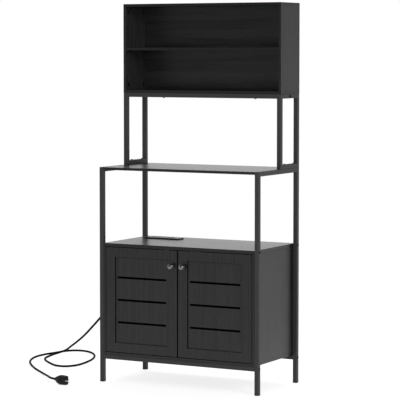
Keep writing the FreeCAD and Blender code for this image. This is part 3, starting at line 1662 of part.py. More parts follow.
doc.recompute()
faults = [thing.Label for thing in doc.Objects
          if "Invalid" in thing.State or "Error" in thing.State]
if faults:
    raise SystemExit(f"objects that failed: {faults}")
for label, thing in parts.items():
    if thing.Shape.isNull() or not thing.Shape.isValid():
        raise SystemExit(f"{label} has no valid shape")

os.makedirs("parts", exist_ok=True)
for label, thing in parts.items():
    thing.Shape.exportStep(f"parts/{label}.step")
print(len(parts), "sub-parts written")
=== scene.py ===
# %% [markdown]
# # A black bakers rack in a pale studio
#
# The rack is a steel tube frame that carries a cabinet with two slotted doors, an open shelf and a
# small hutch. A lead comes out of the cabinet's side and ends in a moulded plug on the floor. Every
# board, tube, bolt and hinge leaf arrives as a solid in the frame. This lesson looks at them as a
# maker would: what each one is made of, how that finish was put on, and what it does to light.

# %% The frame
import math

import bmesh
import bpy
from mathutils import Matrix, Vector


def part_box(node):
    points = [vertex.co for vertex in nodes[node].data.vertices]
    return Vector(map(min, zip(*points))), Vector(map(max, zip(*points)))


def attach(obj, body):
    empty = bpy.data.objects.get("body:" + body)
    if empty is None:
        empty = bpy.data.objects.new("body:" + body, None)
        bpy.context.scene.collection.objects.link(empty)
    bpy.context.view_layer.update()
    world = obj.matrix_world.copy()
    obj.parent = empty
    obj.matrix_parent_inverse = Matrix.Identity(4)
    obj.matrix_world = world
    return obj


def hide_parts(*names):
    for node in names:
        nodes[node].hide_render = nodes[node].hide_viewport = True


# Lengths are metres. One in millimetres is multiplied by MM, where it is named or where it is used.
MM = 0.001
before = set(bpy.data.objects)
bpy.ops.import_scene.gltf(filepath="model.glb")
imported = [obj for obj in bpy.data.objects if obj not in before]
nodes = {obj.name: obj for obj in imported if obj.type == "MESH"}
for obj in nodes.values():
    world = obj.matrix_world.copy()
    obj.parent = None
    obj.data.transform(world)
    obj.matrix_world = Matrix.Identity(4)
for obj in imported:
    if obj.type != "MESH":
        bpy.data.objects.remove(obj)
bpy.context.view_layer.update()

# %% [markdown]
# ## The camera
#
# A product photograph like this one is taken from far away with a long lens, so that upright posts
# stay parallel, and the lens is slid down a little, so that it is tilted less. The place, turn, lens
# and slide were found by fitting the corners of the rack to the picture. The camera is made first
# because the lead on the floor is judged by what it sees.

# %% The camera
CAMERA_PLACE = (4.18169, -7.65752, 1.48233)
CAMERA_PITCH = -3.392
CAMERA_TURN = 28.573
FOCAL_PIXELS = 1956.78
LENS_SLIDE = -0.08
PICTURE_PIXELS = 400
SENSOR_MM = 36.0

scene = bpy.context.scene
camera_data = bpy.data.cameras.new("studio_camera")
camera_data.sensor_width = SENSOR_MM
camera_data.lens = FOCAL_PIXELS / PICTURE_PIXELS * SENSOR_MM
camera_data.shift_y = LENS_SLIDE
camera = bpy.data.objects.new("studio_camera", camera_data)
camera.location = CAMERA_PLACE
camera.rotation_euler = (math.radians(90 + CAMERA_PITCH), 0, math.radians(CAMERA_TURN))
scene.collection.objects.link(camera)
scene.camera = camera
print("lens", round(camera_data.lens, 1), "mm")

# %% [markdown]
# ## The lead's line
#
# A supply lead is a round jacket with a springy core. It leaves the side panel straight, bends down
# under its own weight and then lies on the floor in the loose loops that it was dropped in. One
# NURBS spline, led by listed control points, gives that even bend. Points sampled along
# arcs would look like bent wire. The order is set after the points exist, since it can't be more
# than their number.

# %% The lead's line
CORD_ROUTE = [
    (-0.4180, 0.1195, 0.6000), (-0.4580, 0.1195, 0.6000), (-0.5000, 0.1195, 0.5670),
    (-0.5210, 0.1215, 0.4990), (-0.5310, 0.1280, 0.4185), (-0.5518, 0.1367, 0.3350),
    (-0.5796, 0.1474, 0.2591), (-0.6465, 0.1662, 0.1983), (-0.7310, 0.2093, 0.1333),
    (-0.8074, 0.2542, 0.0879), (-0.8781, 0.3128, 0.0541), (-0.9186, 0.3495, 0.0336),
    (-0.9518, 0.3456, 0.0199), (-0.9756, 0.3158, 0.0110), (-0.9781, 0.2756, 0.0065),
    (-0.9703, 0.2364, 0.0052), (-0.9457, 0.1950, 0.0052), (-0.9050, 0.1511, 0.0052),
    (-0.8503, 0.1029, 0.0052), (-0.7973, 0.0625, 0.0052), (-0.7467, 0.0640, 0.0052),
    (-0.7176, 0.1087, 0.0052), (-0.7172, 0.1689, 0.0052), (-0.7280, 0.2368, 0.0052),
    (-0.7484, 0.3157, 0.0052), (-0.7896, 0.4029, 0.0052), (-0.8412, 0.4689, 0.0052),
    (-0.9003, 0.5130, 0.0052), (-0.9642, 0.5182, 0.0052), (-1.0037, 0.4748, 0.0052),
    (-1.0151, 0.4028, 0.0052), (-1.0360, 0.3289, 0.0052), (-1.0329, 0.2389, 0.0052),
    (-0.9919, 0.1344, 0.0052), (-0.9310, 0.0475, 0.0052), (-0.8400, -0.0520, 0.0052),
    (-0.7805, -0.1051, 0.0052), (-0.7186, -0.1643, 0.0070), (-0.6310, -0.2604, 0.0160),
    (-0.5705, -0.3295, 0.0215), (-0.5470, -0.3345, 0.0215),
]
CORD_DIAMETER = 10 * MM

cord_line = bpy.data.curves.new("power_lead", "CURVE")
cord_line.dimensions = "3D"
spline = cord_line.splines.new("NURBS")
spline.points.add(len(CORD_ROUTE) - 1)
for point, place in zip(spline.points, CORD_ROUTE):
    point.co = (*place, 1)
spline.order_u = 3
spline.use_endpoint_u = True
spline.resolution_u = 12
cord_line.bevel_depth = CORD_DIAMETER / 2
cord_line.bevel_resolution = 5
cord_line.use_fill_caps = True
lead = bpy.data.objects.new("power_lead", cord_line)
scene.collection.objects.link(lead)
print("lead with", len(spline.points), "control points")

# %% [markdown]
# ## Colours and nodes
#
# Paint and plastic are named by the screen colours that a person would pick, while the renderer
# works with linear light. One function turns a hex colour into linear numbers. One more adds a
# node, sets what it is given and plugs in its links, so that each material below reads as a recipe.

# %% Colours and nodes
def linear(hex_colour):
    """A screen colour such as #1c1c1c as the linear numbers that a socket takes."""
    channels = [int(hex_colour[place:place + 2], 16) / 255 for place in (1, 3, 5)]
    return (*[value / 12.92 if value <= 0.04045 else ((value + 0.055) / 1.055) ** 2.4
              for value in channels], 1)


def add(tree, kind, values=None, links=None, **settings):
    """Adds a node, sets its properties and sockets, and wires what feeds it."""
    node = tree.nodes.new("ShaderNode" + kind)
    for name, value in settings.items():
        setattr(node, name, value)
    for socket, value in (values or {}).items():
        node.inputs[socket].default_value = value
    for socket, source in (links or {}).items():
        tree.links.new(source, node.inputs[socket])
    return node


def ramp(tree, source, stops):
    """A colour ramp through (place, hex colour) stops."""
    node = add(tree, "ValToRGB", links={"Fac": source})
    marks = node.color_ramp.elements
    while len(marks) < len(stops):
        marks.new(0.5)
    for mark, (place, hex_colour) in zip(marks, stops):
        mark.position = place
        mark.color = linear(hex_colour)
    return node.outputs["Color"]


def new_material(name):
    """An empty node material and its tree."""
    material = bpy.data.materials.new(name)
    material.use_nodes = True
    material.node_tree.nodes.clear()
    return material, material.node_tree


print("white is", linear("#ffffff")[:3])

# %% [markdown]
# ## The studio
#
# The photograph has a white sweep and very even light. Seen by the camera and by reflections, the
# world behind the rack and the floor are plain white, which is what makes the nearly level tops look
# pale grey. The photographer's side of a studio and the hall to the right of it are dark, and only
# reflections meet them: upright boards at the camera's height mirror them and turn nearly black. As
# a source of light the world is held back, and three large soft lamps give the sides their slight
# difference.

# %% Which rays see the white, and a soft step
def sees_white(tree, path):
    """1 for a ray from the camera, a mirror or glass, and 0 for one that only carries light."""
    seen = add(tree, "Math", links={0: path.outputs["Is Camera Ray"], 1: path.outputs["Is Glossy Ray"]},
               operation="MAXIMUM")
    return add(tree, "Math", links={0: seen.outputs[0], 1: path.outputs["Is Transmission Ray"]},
               operation="MAXIMUM").outputs[0]


def smooth_step(tree, source, start, end):
    """0 before the start, 1 past the end and a soft change between them."""
    return add(tree, "MapRange", {"From Min": start, "From Max": end}, {"Value": source},
               interpolation_type="SMOOTHSTEP").outputs[0]


print("rays from the camera, mirrors and glass see the white")

# %% The white surroundings
WORLD_LIGHT = 0.55
DARK_SIDE = 0.12
DARK_TOWARDS = (0.8, -0.6, 0.0)
HALL_EDGE = (-0.6, 0.1)
HORIZON_EDGE = (-0.1, -0.01)

world = bpy.data.worlds.new("white_sweep")
world.use_nodes = True
scene.world = world
air = world.node_tree
air.nodes.clear()
path = add(air, "LightPath")
direction = add(air, "TexCoord").outputs["Generated"]
height = add(air, "SeparateXYZ", links={0: direction}).outputs["Z"]
towards = add(air, "VectorMath", {1: DARK_TOWARDS}, {0: direction}, operation="DOT_PRODUCT")
hall = smooth_step(air, towards.outputs["Value"], *HALL_EDGE)
raised = smooth_step(air, height, *HORIZON_EDGE)
studio = add(air, "Math", links={0: hall, 1: raised}, operation="MULTIPLY")
mirrored = add(air, "Math", links={0: studio.outputs[0], 1: path.outputs["Is Glossy Ray"]},
               operation="MULTIPLY")
white = add(air, "MapRange", {"To Min": 1.0, "To Max": DARK_SIDE}, {"Value": mirrored.outputs[0]})
level = add(air, "MapRange", {"To Min": WORLD_LIGHT},
            {"Value": sees_white(air, path), "To Max": white.outputs[0]})
sky = add(air, "Background", {"Color": (1, 1, 1, 1)}, {"Strength": level.outputs[0]})
add(air, "OutputWorld", links={"Surface": sky.outputs[0]})
print("world lights at", WORLD_LIGHT, "and mirrors the dark side at", DARK_SIDE)

# %% Soft lamps
LAMPS = {
    "key_softbox": {"place": (4.2, -2.6, 3.0), "side": 1.8, "watts": 80},
    "front_softbox": {"place": (2.0, -5.6, 2.2), "side": 2.4, "watts": 62},
    "top_softbox": {"place": (-0.4, 1.6, 3.8), "side": 2.4, "watts": 70},
}
AIM = Vector((0, 0, 0.8))

for name, lamp in LAMPS.items():
    light = bpy.data.lights.new(name, "AREA")
    light.size = lamp["side"]
    light.energy = lamp["watts"]
    holder = bpy.data.objects.new(name, light)
    holder.location = lamp["place"]
    holder.rotation_euler = (AIM - Vector(lamp["place"])).to_track_quat("-Z", "Y").to_euler()
    scene.collection.objects.link(holder)
print(len(LAMPS), "lamps")

# %% [markdown]
# ## The floor
#
# Paper that runs out of the picture: near the rack it takes the soft shadow, and further out it
# fades into the white of the surroundings, so that no horizon shows behind the legs. The paper in
# the photograph is bright enough to print as white, so a part of that white is already in it here,
# for the eye and for reflections only.

# %% The floor
FLOOR_RADIUS = 4.0
FLOOR_SIDES = 96
FADE_START = 0.9
FADE_END = 2.2
PAPER_GLOW = 0.79
PAPER_SEEN = "#a0a09f"
PAPER_FIBRE = 4

sweep, tree = new_material("white_background_paper")
place = add(tree, "TexCoord")
distance = add(tree, "VectorMath", links={0: place.outputs["Object"]}, operation="LENGTH")
fade = smooth_step(tree, distance.outputs["Value"], FADE_START, FADE_END)
seen = sees_white(tree, add(tree, "LightPath"))
amount = add(tree, "Math", links={0: fade, 1: seen}, operation="MULTIPLY")
fibres = add(tree, "TexNoise", {"Scale": 1 / (PAPER_FIBRE * MM), "Detail": 2.0},
             {"Vector": place.outputs["Object"]})
lit_paper = ramp(tree, fibres.outputs["Fac"], [(0.3, "#f4f4f3"), (0.7, "#f8f8f7")])
sheet = add(tree, "Mix", {7: linear(PAPER_SEEN)}, {0: seen, 6: lit_paper}, data_type="RGBA")
paper = add(tree, "BsdfPrincipled", {"Roughness": 0.9, "Specular IOR Level": 0.2},
            {"Base Color": sheet.outputs[2]})
bright = add(tree, "Math", {1: PAPER_GLOW}, {0: seen}, operation="MULTIPLY")
own_glow = add(tree, "Emission", {"Color": (1, 1, 1, 1)}, {"Strength": bright.outputs[0]})
near = add(tree, "AddShader", links={0: paper.outputs[0], 1: own_glow.outputs[0]})
far = add(tree, "Emission", {"Color": (1, 1, 1, 1), "Strength": 1.0})
both = add(tree, "MixShader", links={0: amount.outputs[0], 1: near.outputs[0], 2: far.outputs[0]})
add(tree, "OutputMaterial", links={"Surface": both.outputs[0]})

shape = bmesh.new()
bmesh.ops.create_circle(shape, cap_ends=True, radius=FLOOR_RADIUS, segments=FLOOR_SIDES)
mesh = bpy.data.meshes.new("paper_floor")
shape.to_mesh(mesh)
shape.free()
mesh.materials.append(sweep)
floor = bpy.data.objects.new("paper_floor", mesh)
scene.collection.objects.link(floor)
print("floor of", FLOOR_RADIUS, "m")

# %% [markdown]
# ## Giving the solids their finish
#
# The frame's solids keep their shape and only get another material. A set of the names that have
# been dealt with shows at the end whether any solid was forgotten.

# %% Giving the solids their finish
finished = set()


def finish(material, *names):
    """Puts a material in every slot of these nodes."""
    for name in names:
        node = nodes[name]
        if not node.material_slots:
            node.data.materials.append(material)
        for slot in node.material_slots:
            slot.material = material
        finished.add(name)
    print(material.name, "on", ", ".join(names))


def both_hands(*names):
    """Each name once for the left and once for the right, in place of the word SIDE."""
    return [name.replace("SIDE", side) for name in names for side in ("left", "right")]


print(len(nodes), "solids to finish")

# %% [markdown]
# ## Oak-grain melamine board
#
# The boards are particleboard faced with black melamine paper, pressed against a steel plate that
# is engraved with oak pores. The eye gets a charcoal that is nearly even, faint streaks along the
# board, short sunk pores, and a satin sheen that turns pale when seen nearly level. The narrow
# sides carry a plain plastic band with no grain. The resin's IOR is taken a little under its usual
# 1.5, so that the sheen comes in late, as it does in the photograph. Stretched noise on object
# coordinates gives streaks of a real width in millimetres, and the direction of a face tells the
# band from the board's own face. Real pores are finer than these, which are drawn as coarse as a
# picture of the whole rack can show.

# %% A recipe for melamine
STREAK_WIDTH = 11
STREAK_LENGTH = 620
PORE_WIDTH = 2.2
PORE_LENGTH = 55
PORE_DEPTH = 0.12 * MM
PORE_EDGE = (0.36, 0.50)
FACE_SHARE = 0.6
MELAMINE_IOR = 1.42
EDGE_BAND = "#131314"
PORE_COLOUR = "#0e0e0e"
AXES = "XYZ"


def stretched(grain, width, length):
    """Noise scale for a pattern of this width and length in millimetres along one axis."""
    return [1 / ((length if axis == grain else width) * MM) for axis in AXES]


def melamine(name, grain, faces, dark="#121212", light="#272727", smooth=0.25, rough=0.4,
             streak_width=STREAK_WIDTH):
    """Black board: grain runs along one axis, and the wide faces look along another."""
    material, tree = new_material(name)
    place = add(tree, "TexCoord")
    wide = add(tree, "Mapping", {"Scale": stretched(grain, streak_width, STREAK_LENGTH)},
               {"Vector": place.outputs["Object"]})
    streaks = add(tree, "TexNoise", {"Scale": 1.0, "Detail": 4.0, "Roughness": 0.62, "Distortion": 0.4},
                  {"Vector": wide.outputs[0]})
    narrow = add(tree, "Mapping", {"Scale": stretched(grain, PORE_WIDTH, PORE_LENGTH)},
                 {"Vector": place.outputs["Object"]})
    pores = add(tree, "TexNoise", {"Scale": 1.0, "Detail": 3.0, "Roughness": 0.7},
                {"Vector": narrow.outputs[0]})
    between_pores = smooth_step(tree, pores.outputs["Fac"], *PORE_EDGE)
    face = add(tree, "SeparateXYZ", links={0: place.outputs["Normal"]})
    facing = add(tree, "Math", links={0: face.outputs[faces]}, operation="ABSOLUTE")
    on_face = add(tree, "Math", {1: FACE_SHARE}, {0: facing.outputs[0]}, operation="GREATER_THAN")
    wood = ramp(tree, streaks.outputs["Fac"], [(0.32, dark), (0.68, light)])
    figure = add(tree, "Mix", {6: linear(PORE_COLOUR)}, {0: between_pores, 7: wood}, data_type="RGBA")
    colour = add(tree, "Mix", {6: linear(EDGE_BAND)}, {0: on_face.outputs[0], 7: figure.outputs[2]},
                 data_type="RGBA")
    sheen = add(tree, "MapRange", {"From Min": 0.3, "From Max": 0.7, "To Min": smooth, "To Max": rough},
                {"Value": streaks.outputs["Fac"]})
    relief = add(tree, "Math", links={0: between_pores, 1: on_face.outputs[0]}, operation="MULTIPLY")
    bump = add(tree, "Bump", {"Strength": 0.5, "Distance": PORE_DEPTH}, {"Height": relief.outputs[0]})
    surface = add(tree, "BsdfPrincipled", {"IOR": MELAMINE_IOR},
                  {"Base Color": colour.outputs[2], "Roughness": sheen.outputs[0],
                   "Normal": bump.outputs[0]})
    add(tree, "OutputMaterial", links={"Surface": surface.outputs[0]})
    return material


print("streaks", STREAK_WIDTH, "mm wide, pores", PORE_WIDTH, "mm wide")

# %% [markdown]
# ## Which way the grain runs
#
# Doors and side panels are cut with the grain upright, and shelves with the grain along their
# length and a little smoother, which gives their tops the pale sheen. The hutch's left side is
# given a lighter colour as painted light on its inner face, which the lamps leave in shade, and
# the back's broader, darker figure is partly grain and partly painted shade inside the hutch.

# %% Boards
finish(melamine("oak_melamine_doors", "Z", "Y"), *both_hands("SIDE_door"))
finish(melamine("oak_melamine_sides", "Z", "X"), *both_hands("cabinet_SIDE_side"),
       "hutch_right_side")
# The hutch's left side is lighter than its right side: painted light on the inner face, which the lamps
# leave in shade.
finish(melamine("oak_melamine_painted_light_side", "Z", "X", dark="#222222", light="#363636"),
       "hutch_left_side")
finish(melamine("oak_melamine_shelves", "X", "Z", smooth=0.24, rough=0.33), "cabinet_top",
       "cabinet_bottom", "cabinet_shelf", "middle_shelf", "hutch_bottom", "hutch_shelf", "hutch_top")
# The back's very dark colours and broad streaks are partly grain and partly painted shade inside the
# hutch.
finish(melamine("oak_melamine_back_painted_shade", "X", "Y", dark="#080808", light="#252525", streak_width=26),
       "hutch_back")

# %% [markdown]
# ## Hardboard
#
# The cabinet's back is a thin sheet of pressed wood fibre with a black printed face. It is duller
# than melamine, and its fibres show as a fine, cloudy mottle with no direction.

# %% Hardboard
FIBRE_SIZE = 3.5

hardboard, tree = new_material("black_printed_hardboard")
place = add(tree, "TexCoord")
mottle = add(tree, "TexNoise", {"Scale": 1 / (FIBRE_SIZE * MM), "Detail": 5.0, "Roughness": 0.7},
             {"Vector": place.outputs["Object"]})
bump = add(tree, "Bump", {"Strength": 0.4, "Distance": 0.1 * MM}, {"Height": mottle.outputs["Fac"]})
surface = add(tree, "BsdfPrincipled", {"Roughness": 0.62, "IOR": 1.45},
              {"Base Color": ramp(tree, mottle.outputs["Fac"], [(0.3, "#191919"), (0.7, "#252525")]),
               "Normal": bump.outputs[0]})
add(tree, "OutputMaterial", links={"Surface": surface.outputs[0]})
finish(hardboard, "cabinet_back")

# %% [markdown]
# ## Powder-coated steel
#
# The tubes are mild steel, sprayed with dry black powder and baked. The film flows out into a very
# shallow orange peel with a satin gloss. Two sizes of noise in the bump, one for the peel and one
# for the grit, break up the highlight on the rounded tube corners. The film mirrors less than a
# clear lacquer does, so its specular level is lowered.

# %% Powder-coated steel
PEEL_SIZE = 5.0
GRIT_SIZE = 1.6
GRIT_SHARE = 0.4

powder, tree = new_material("black_powder_coated_steel")
place = add(tree, "TexCoord")
peel = add(tree, "TexNoise", {"Scale": 1 / (PEEL_SIZE * MM), "Detail": 2.0},
           {"Vector": place.outputs["Object"]})
grit = add(tree, "TexNoise", {"Scale": 1 / (GRIT_SIZE * MM), "Detail": 1.0},
           {"Vector": place.outputs["Object"]})
height = add(tree, "Math", {1: GRIT_SHARE}, {0: grit.outputs["Fac"], 2: peel.outputs["Fac"]},
             operation="MULTIPLY_ADD")
bump = add(tree, "Bump", {"Strength": 0.1, "Distance": 0.06 * MM}, {"Height": height.outputs[0]})
gloss = add(tree, "MapRange", {"To Min": 0.4, "To Max": 0.52}, {"Value": peel.outputs["Fac"]})
surface = add(tree, "BsdfPrincipled", {"IOR": 1.45, "Specular IOR Level": 0.32},
              {"Base Color": ramp(tree, peel.outputs["Fac"], [(0.3, "#2f2f30"), (0.7, "#363637")]),
               "Roughness": gloss.outputs[0], "Normal": bump.outputs[0]})
add(tree, "OutputMaterial", links={"Surface": surface.outputs[0]})
finish(powder, *both_hands("front_SIDE_leg", "rear_SIDE_leg", "SIDE_shelf_rail"),
       "front_bottom_rail", "rear_bottom_rail")
finish(powder, *both_hands("hutch_front_SIDE_post", "hutch_rear_SIDE_post",
                           "hutch_SIDE_bottom_rail", "hutch_SIDE_top_rail"),
       "hutch_front_rail", "hutch_rear_rail", "hutch_cross_rail")

# %% [markdown]
# ## Plated metal
#
# Bolts and screws are steel with a thin plating, cam locks and shelf pins are die-cast zinc that
# was turned black in a bath, hinge leaves are lacquered steel and the knobs are black nickel. All
# of them are metal to the shader, with a tumbled surface that scatters the highlight. They differ
# only in colour and in how rough they are, so one recipe serves them all. A metal keeps the
# default IOR.

# %% A recipe for plated metal
TUMBLE_DEPTH = 0.05


def plated(name, dark, light, smooth, rough, grain_mm):
    """Metal whose colour and roughness wander between two values over a tumbled grain."""
    material, tree = new_material(name)
    place = add(tree, "TexCoord")
    tumble = add(tree, "TexNoise", {"Scale": 1 / (grain_mm * MM), "Detail": 3.0},
                 {"Vector": place.outputs["Object"]})
    gloss = add(tree, "MapRange", {"From Min": 0.3, "From Max": 0.7, "To Min": smooth, "To Max": rough},
                {"Value": tumble.outputs["Fac"]})
    bump = add(tree, "Bump", {"Strength": 0.15, "Distance": TUMBLE_DEPTH * MM},
               {"Height": tumble.outputs["Fac"]})
    surface = add(tree, "BsdfPrincipled", {"Metallic": 1.0},
                  {"Base Color": ramp(tree, tumble.outputs["Fac"], [(0.3, dark), (0.7, light)]),
                   "Roughness": gloss.outputs[0], "Normal": bump.outputs[0]})
    add(tree, "OutputMaterial", links={"Surface": surface.outputs[0]})
    return material


print("tumbled grain", TUMBLE_DEPTH, "mm deep")

# %% Fasteners and hinges
finish(plated("black_zinc_plated_steel", "#0b0b0c", "#131315", 0.3, 0.4, 0.8), "frame_bolts")
finish(plated("bright_zinc_plated_steel", "#a9adb0", "#c2c5c8", 0.24, 0.36, 1.2),
       "threaded_inserts", "barrel_nuts", "cam_bolts", "board_screws",
       *both_hands("SIDE_door_screws", "SIDE_strike_plate"))
finish(plated("black_passivated_die_cast_zinc", "#1b1b1d", "#29292b", 0.36, 0.5, 0.6), "cam_locks",
       "shelf_pins")
finish(plated("black_lacquered_hinge_steel", "#19191b", "#232326", 0.36, 0.5, 1.0),
       *both_hands("SIDE_door_hinge_leaves"), "cabinet_hinge_leaves")
finish(plated("blackened_steel_pin", "#2a2a2c", "#363639", 0.3, 0.42, 0.5), "hinge_pins")
finish(plated("black_nickel", "#6c6c70", "#7a7a7f", 0.08, 0.15, 1.5), *both_hands("SIDE_knob"))
finish(plated("nickel_plated_brass", "#b6b5b2", "#cfcecb", 0.2, 0.3, 0.7), "plug_blades")

# %% [markdown]
# ## Moulded plastics
#
# The feet, the outlet and the catches come out of spark-eroded steel moulds, which leave a fine
# leathery texture. The lead and its mouldings are soft PVC with a dull skin, which stays nearly
# black from every side, so their reflections are held low. The recipe is one: a colour that hardly
# changes, a texture of a set size, and the IOR of the plastic.

# %% A recipe for moulded plastic
GRAIN_STRENGTH = 0.4


def moulded(name, dark, light, smooth, rough, texture_mm, depth_mm, ior, specular=0.5):
    """Textured plastic; the mould's grain shows in the colour, the gloss and the bump."""
    material, tree = new_material(name)
    place = add(tree, "TexCoord")
    leather = add(tree, "TexNoise", {"Scale": 1 / (texture_mm * MM), "Detail": 2.0},
                  {"Vector": place.outputs["Object"]})
    gloss = add(tree, "MapRange", {"From Min": 0.3, "From Max": 0.7, "To Min": smooth, "To Max": rough},
                {"Value": leather.outputs["Fac"]})
    bump = add(tree, "Bump", {"Strength": GRAIN_STRENGTH, "Distance": depth_mm * MM},
               {"Height": leather.outputs["Fac"]})
    surface = add(tree, "BsdfPrincipled", {"IOR": ior, "Specular IOR Level": specular},
                  {"Base Color": ramp(tree, leather.outputs["Fac"], [(0.3, dark), (0.7, light)]),
                   "Roughness": gloss.outputs[0], "Normal": bump.outputs[0]})
    add(tree, "OutputMaterial", links={"Surface": surface.outputs[0]})
    return material


print("mould grain at strength", GRAIN_STRENGTH)

# %% Plastics
finish(moulded("black_polyethylene_feet", "#141414", "#1c1c1c", 0.5, 0.62, 1.4, 0.06, 1.51),
       "foot_caps")
finish(moulded("black_textured_abs", "#121213", "#191919", 0.26, 0.34, 1.6, 0.02, 1.52),
       "outlet_bezel", "outlet_housing")
finish(moulded("white_abs_catches", "#d9d9d6", "#e6e6e3", 0.34, 0.44, 0.9, 0.04, 1.52),
       "magnetic_catches")
finish(moulded("black_polycarbonate_sockets", "#0e0e0f", "#141415", 0.22, 0.3, 2.0, 0.02, 1.58),
       "outlet_sockets")
soft_pvc = moulded("black_soft_pvc", "#0a0a0a", "#111111", 0.5, 0.6, 1.3, 0.04, 1.52, 0.2)
jacket_pvc = moulded("black_pvc_jacket", "#030303", "#060606", 0.6, 0.72, 2.2, 0.04, 1.52, 0.05)
finish(soft_pvc, "strain_relief", "plug_body")
finish(jacket_pvc, "power_cord")
cord_line.materials.append(jacket_pvc)

# %% [markdown]
# ## Making a piece
#
# Every new piece is shaped in a bmesh, with its place in the mesh and its object left at the
# origin. The helper below merges doubles, turns the faces outwards, shades round parts smoothly
# while keeping real edges crisp, and ties the piece to its body and its finish.

# %% A helper that finishes a piece
CRISP_ANGLE = math.radians(38)
WELD_DISTANCE = 1e-6


def make_piece(name, shape, material, body):
    """Turns a shape into an object with a finish and a body to ride on."""
    bmesh.ops.remove_doubles(shape, verts=shape.verts, dist=WELD_DISTANCE)
    bmesh.ops.recalc_face_normals(shape, faces=shape.faces)
    mesh = bpy.data.meshes.new(name)
    shape.to_mesh(mesh)
    shape.free()
    mesh.shade_smooth()
    mesh.set_sharp_from_angle(angle=CRISP_ANGLE)
    mesh.materials.append(material)
    piece = bpy.data.objects.new(name, mesh)
    scene.collection.objects.link(piece)
    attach(piece, body)
    print(name, len(mesh.polygons), "faces")
    return piece


print("edges sharper than", round(math.degrees(CRISP_ANGLE)), "degrees stay crisp")

# %% [markdown]
# ## The moulded plug
#
# The plug is cast in one shot round the end of the lead. A short round boot swells into a
# flat-sided grip, which is widest in its middle and narrows a little towards its face. Each of its
# broad sides has five finger ribs. Cross-sections work well here: each one is a circle that is
# squared up by moving its points, and neighbouring sections are bridged. The ribs and the boot's
# rings are rounded bars and short collars set into that skin.

# %% The plug's skin
SECTION_SIDES = 40
PLUG_SECTIONS = [
    # station, height, thickness in mm, and how square it is, where 1 is a circle
    (0.0, 12.4, 12.4, 1.0), (0.8, 13.0, 13.0, 1.0), (9.0, 15.0, 15.0, 1.0),
    (11.5, 18.5, 17.5, 0.8), (14.0, 23.5, 21.6, 0.6), (20.0, 29.5, 24.0, 0.5),
    (28.0, 36.0, 26.2, 0.45), (35.0, 41.0, 27.4, 0.42), (40.0, 43.0, 28.0, 0.42),
    (50.0, 42.2, 27.6, 0.40), (62.0, 41.0, 26.8, 0.40), (70.5, 40.2, 26.2, 0.38),
    (73.0, 39.2, 25.2, 0.38), (74.0, 36.8, 22.8, 0.38),
]


def plug_section(shape, station, high, thick, square):
    """A closed ring across the plug's own X axis, and its edges."""
    ring = bmesh.ops.create_circle(shape, radius=1.0, segments=SECTION_SIDES)["verts"]
    for point in ring:
        turn = math.atan2(point.co.y, point.co.x)
        across = math.copysign(abs(math.cos(turn)) ** square, math.cos(turn))
        up = math.copysign(abs(math.sin(turn)) ** square, math.sin(turn))
        point.co = (station * MM, across * thick / 2 * MM, up * high / 2 * MM)
    return list({edge for point in ring for edge in point.link_edges})


plug_shape = bmesh.new()
rings = [plug_section(plug_shape, *section) for section in PLUG_SECTIONS]
for first, second in zip(rings, rings[1:]):
    bmesh.ops.bridge_loops(plug_shape, edges=first + second)
for end in (rings[0], rings[-1]):
    bmesh.ops.contextual_create(plug_shape, geom=end)
print("plug skin of", len(plug_shape.faces), "faces")

# %% Finger ribs and boot rings
RIB_STATIONS = (34, 40, 46, 52, 58)
RIB_SIZE = (2.4, 1.8, 22)
RIB_SINK = 0.25
RIB_ROUNDING = 0.6 * MM
BOOT_RINGS = (2.6, 5.0, 7.4)
BOOT_RING_PROUD = 0.8
BOOT_RING_WIDTH = 1.5
BOOT_RING_ROUNDING = 0.35 * MM


def half_thickness(station):
    """Half the plug's thickness where a rib stands, between the sections on either side."""
    for (x, _, thick, _), (x_next, _, thick_next, _) in zip(PLUG_SECTIONS, PLUG_SECTIONS[1:]):
        if x <= station <= x_next:
            share = (station - x) / (x_next - x)
            return (thick + (thick_next - thick) * share) / 2


for station in RIB_STATIONS:
    for side in (-1, 1):
        middle = Vector((station, side * (half_thickness(station) - RIB_SINK), 0)) * MM
        bar = bmesh.ops.create_cube(plug_shape, size=1.0, matrix=Matrix.Translation(middle)
                                    @ Matrix.Diagonal((*(Vector(RIB_SIZE) * MM), 1)))["verts"]
        edges = {edge for point in bar for edge in point.link_edges}
        bmesh.ops.bevel(plug_shape, geom=list(edges), offset=RIB_ROUNDING, segments=3, profile=0.5,
                        affect="EDGES", material=-1)
for station in BOOT_RINGS:
    ring_radius = (half_thickness(station) + BOOT_RING_PROUD) * MM
    collar = bmesh.ops.create_cone(plug_shape, cap_ends=True, segments=SECTION_SIDES,
                                   radius1=ring_radius, radius2=ring_radius,
                                   depth=BOOT_RING_WIDTH * MM,
                                   matrix=Matrix.Translation((station * MM, 0, 0))
                                   @ Matrix.Rotation(math.radians(90), 4, "Y"))["verts"]
    rims = {edge for point in collar for edge in point.link_edges
            if abs(edge.verts[0].co.x - edge.verts[1].co.x) < WELD_DISTANCE}
    bmesh.ops.bevel(plug_shape, geom=list(rims), offset=BOOT_RING_ROUNDING, segments=2,
                    profile=0.5, affect="EDGES", material=-1)
print("plug with ribs", len(plug_shape.faces), "faces")

# %% Laying the plug down
PLUG_HEADING = -12

plug_place = (Matrix.Translation(CORD_ROUTE[-1])
              @ Matrix.Rotation(math.radians(PLUG_HEADING), 4, "Z"))
bmesh.ops.transform(plug_shape, matrix=plug_place, verts=plug_shape.verts)
plug = make_piece("moulded_plug", plug_shape, soft_pvc, "rack")
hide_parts("plug_body")
print("plug laid", PLUG_HEADING, "degrees off the rack's long side")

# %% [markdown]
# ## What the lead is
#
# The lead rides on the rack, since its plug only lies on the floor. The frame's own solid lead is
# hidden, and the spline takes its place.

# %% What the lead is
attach(lead, "rack")
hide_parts("power_cord")

# %% [markdown]
# ## Weld beads
#
# The side frames of the rack and of the hutch are mitred and welded. The outer faces are ground
# flat, but in the inner corners and under the shelf tabs the bead is left as it cooled: a row of
# small overlapping ripples. A ring that grows and shrinks from step to step, bridged to the next
# one, gives that ripple with few faces. The powder coat lies over it.

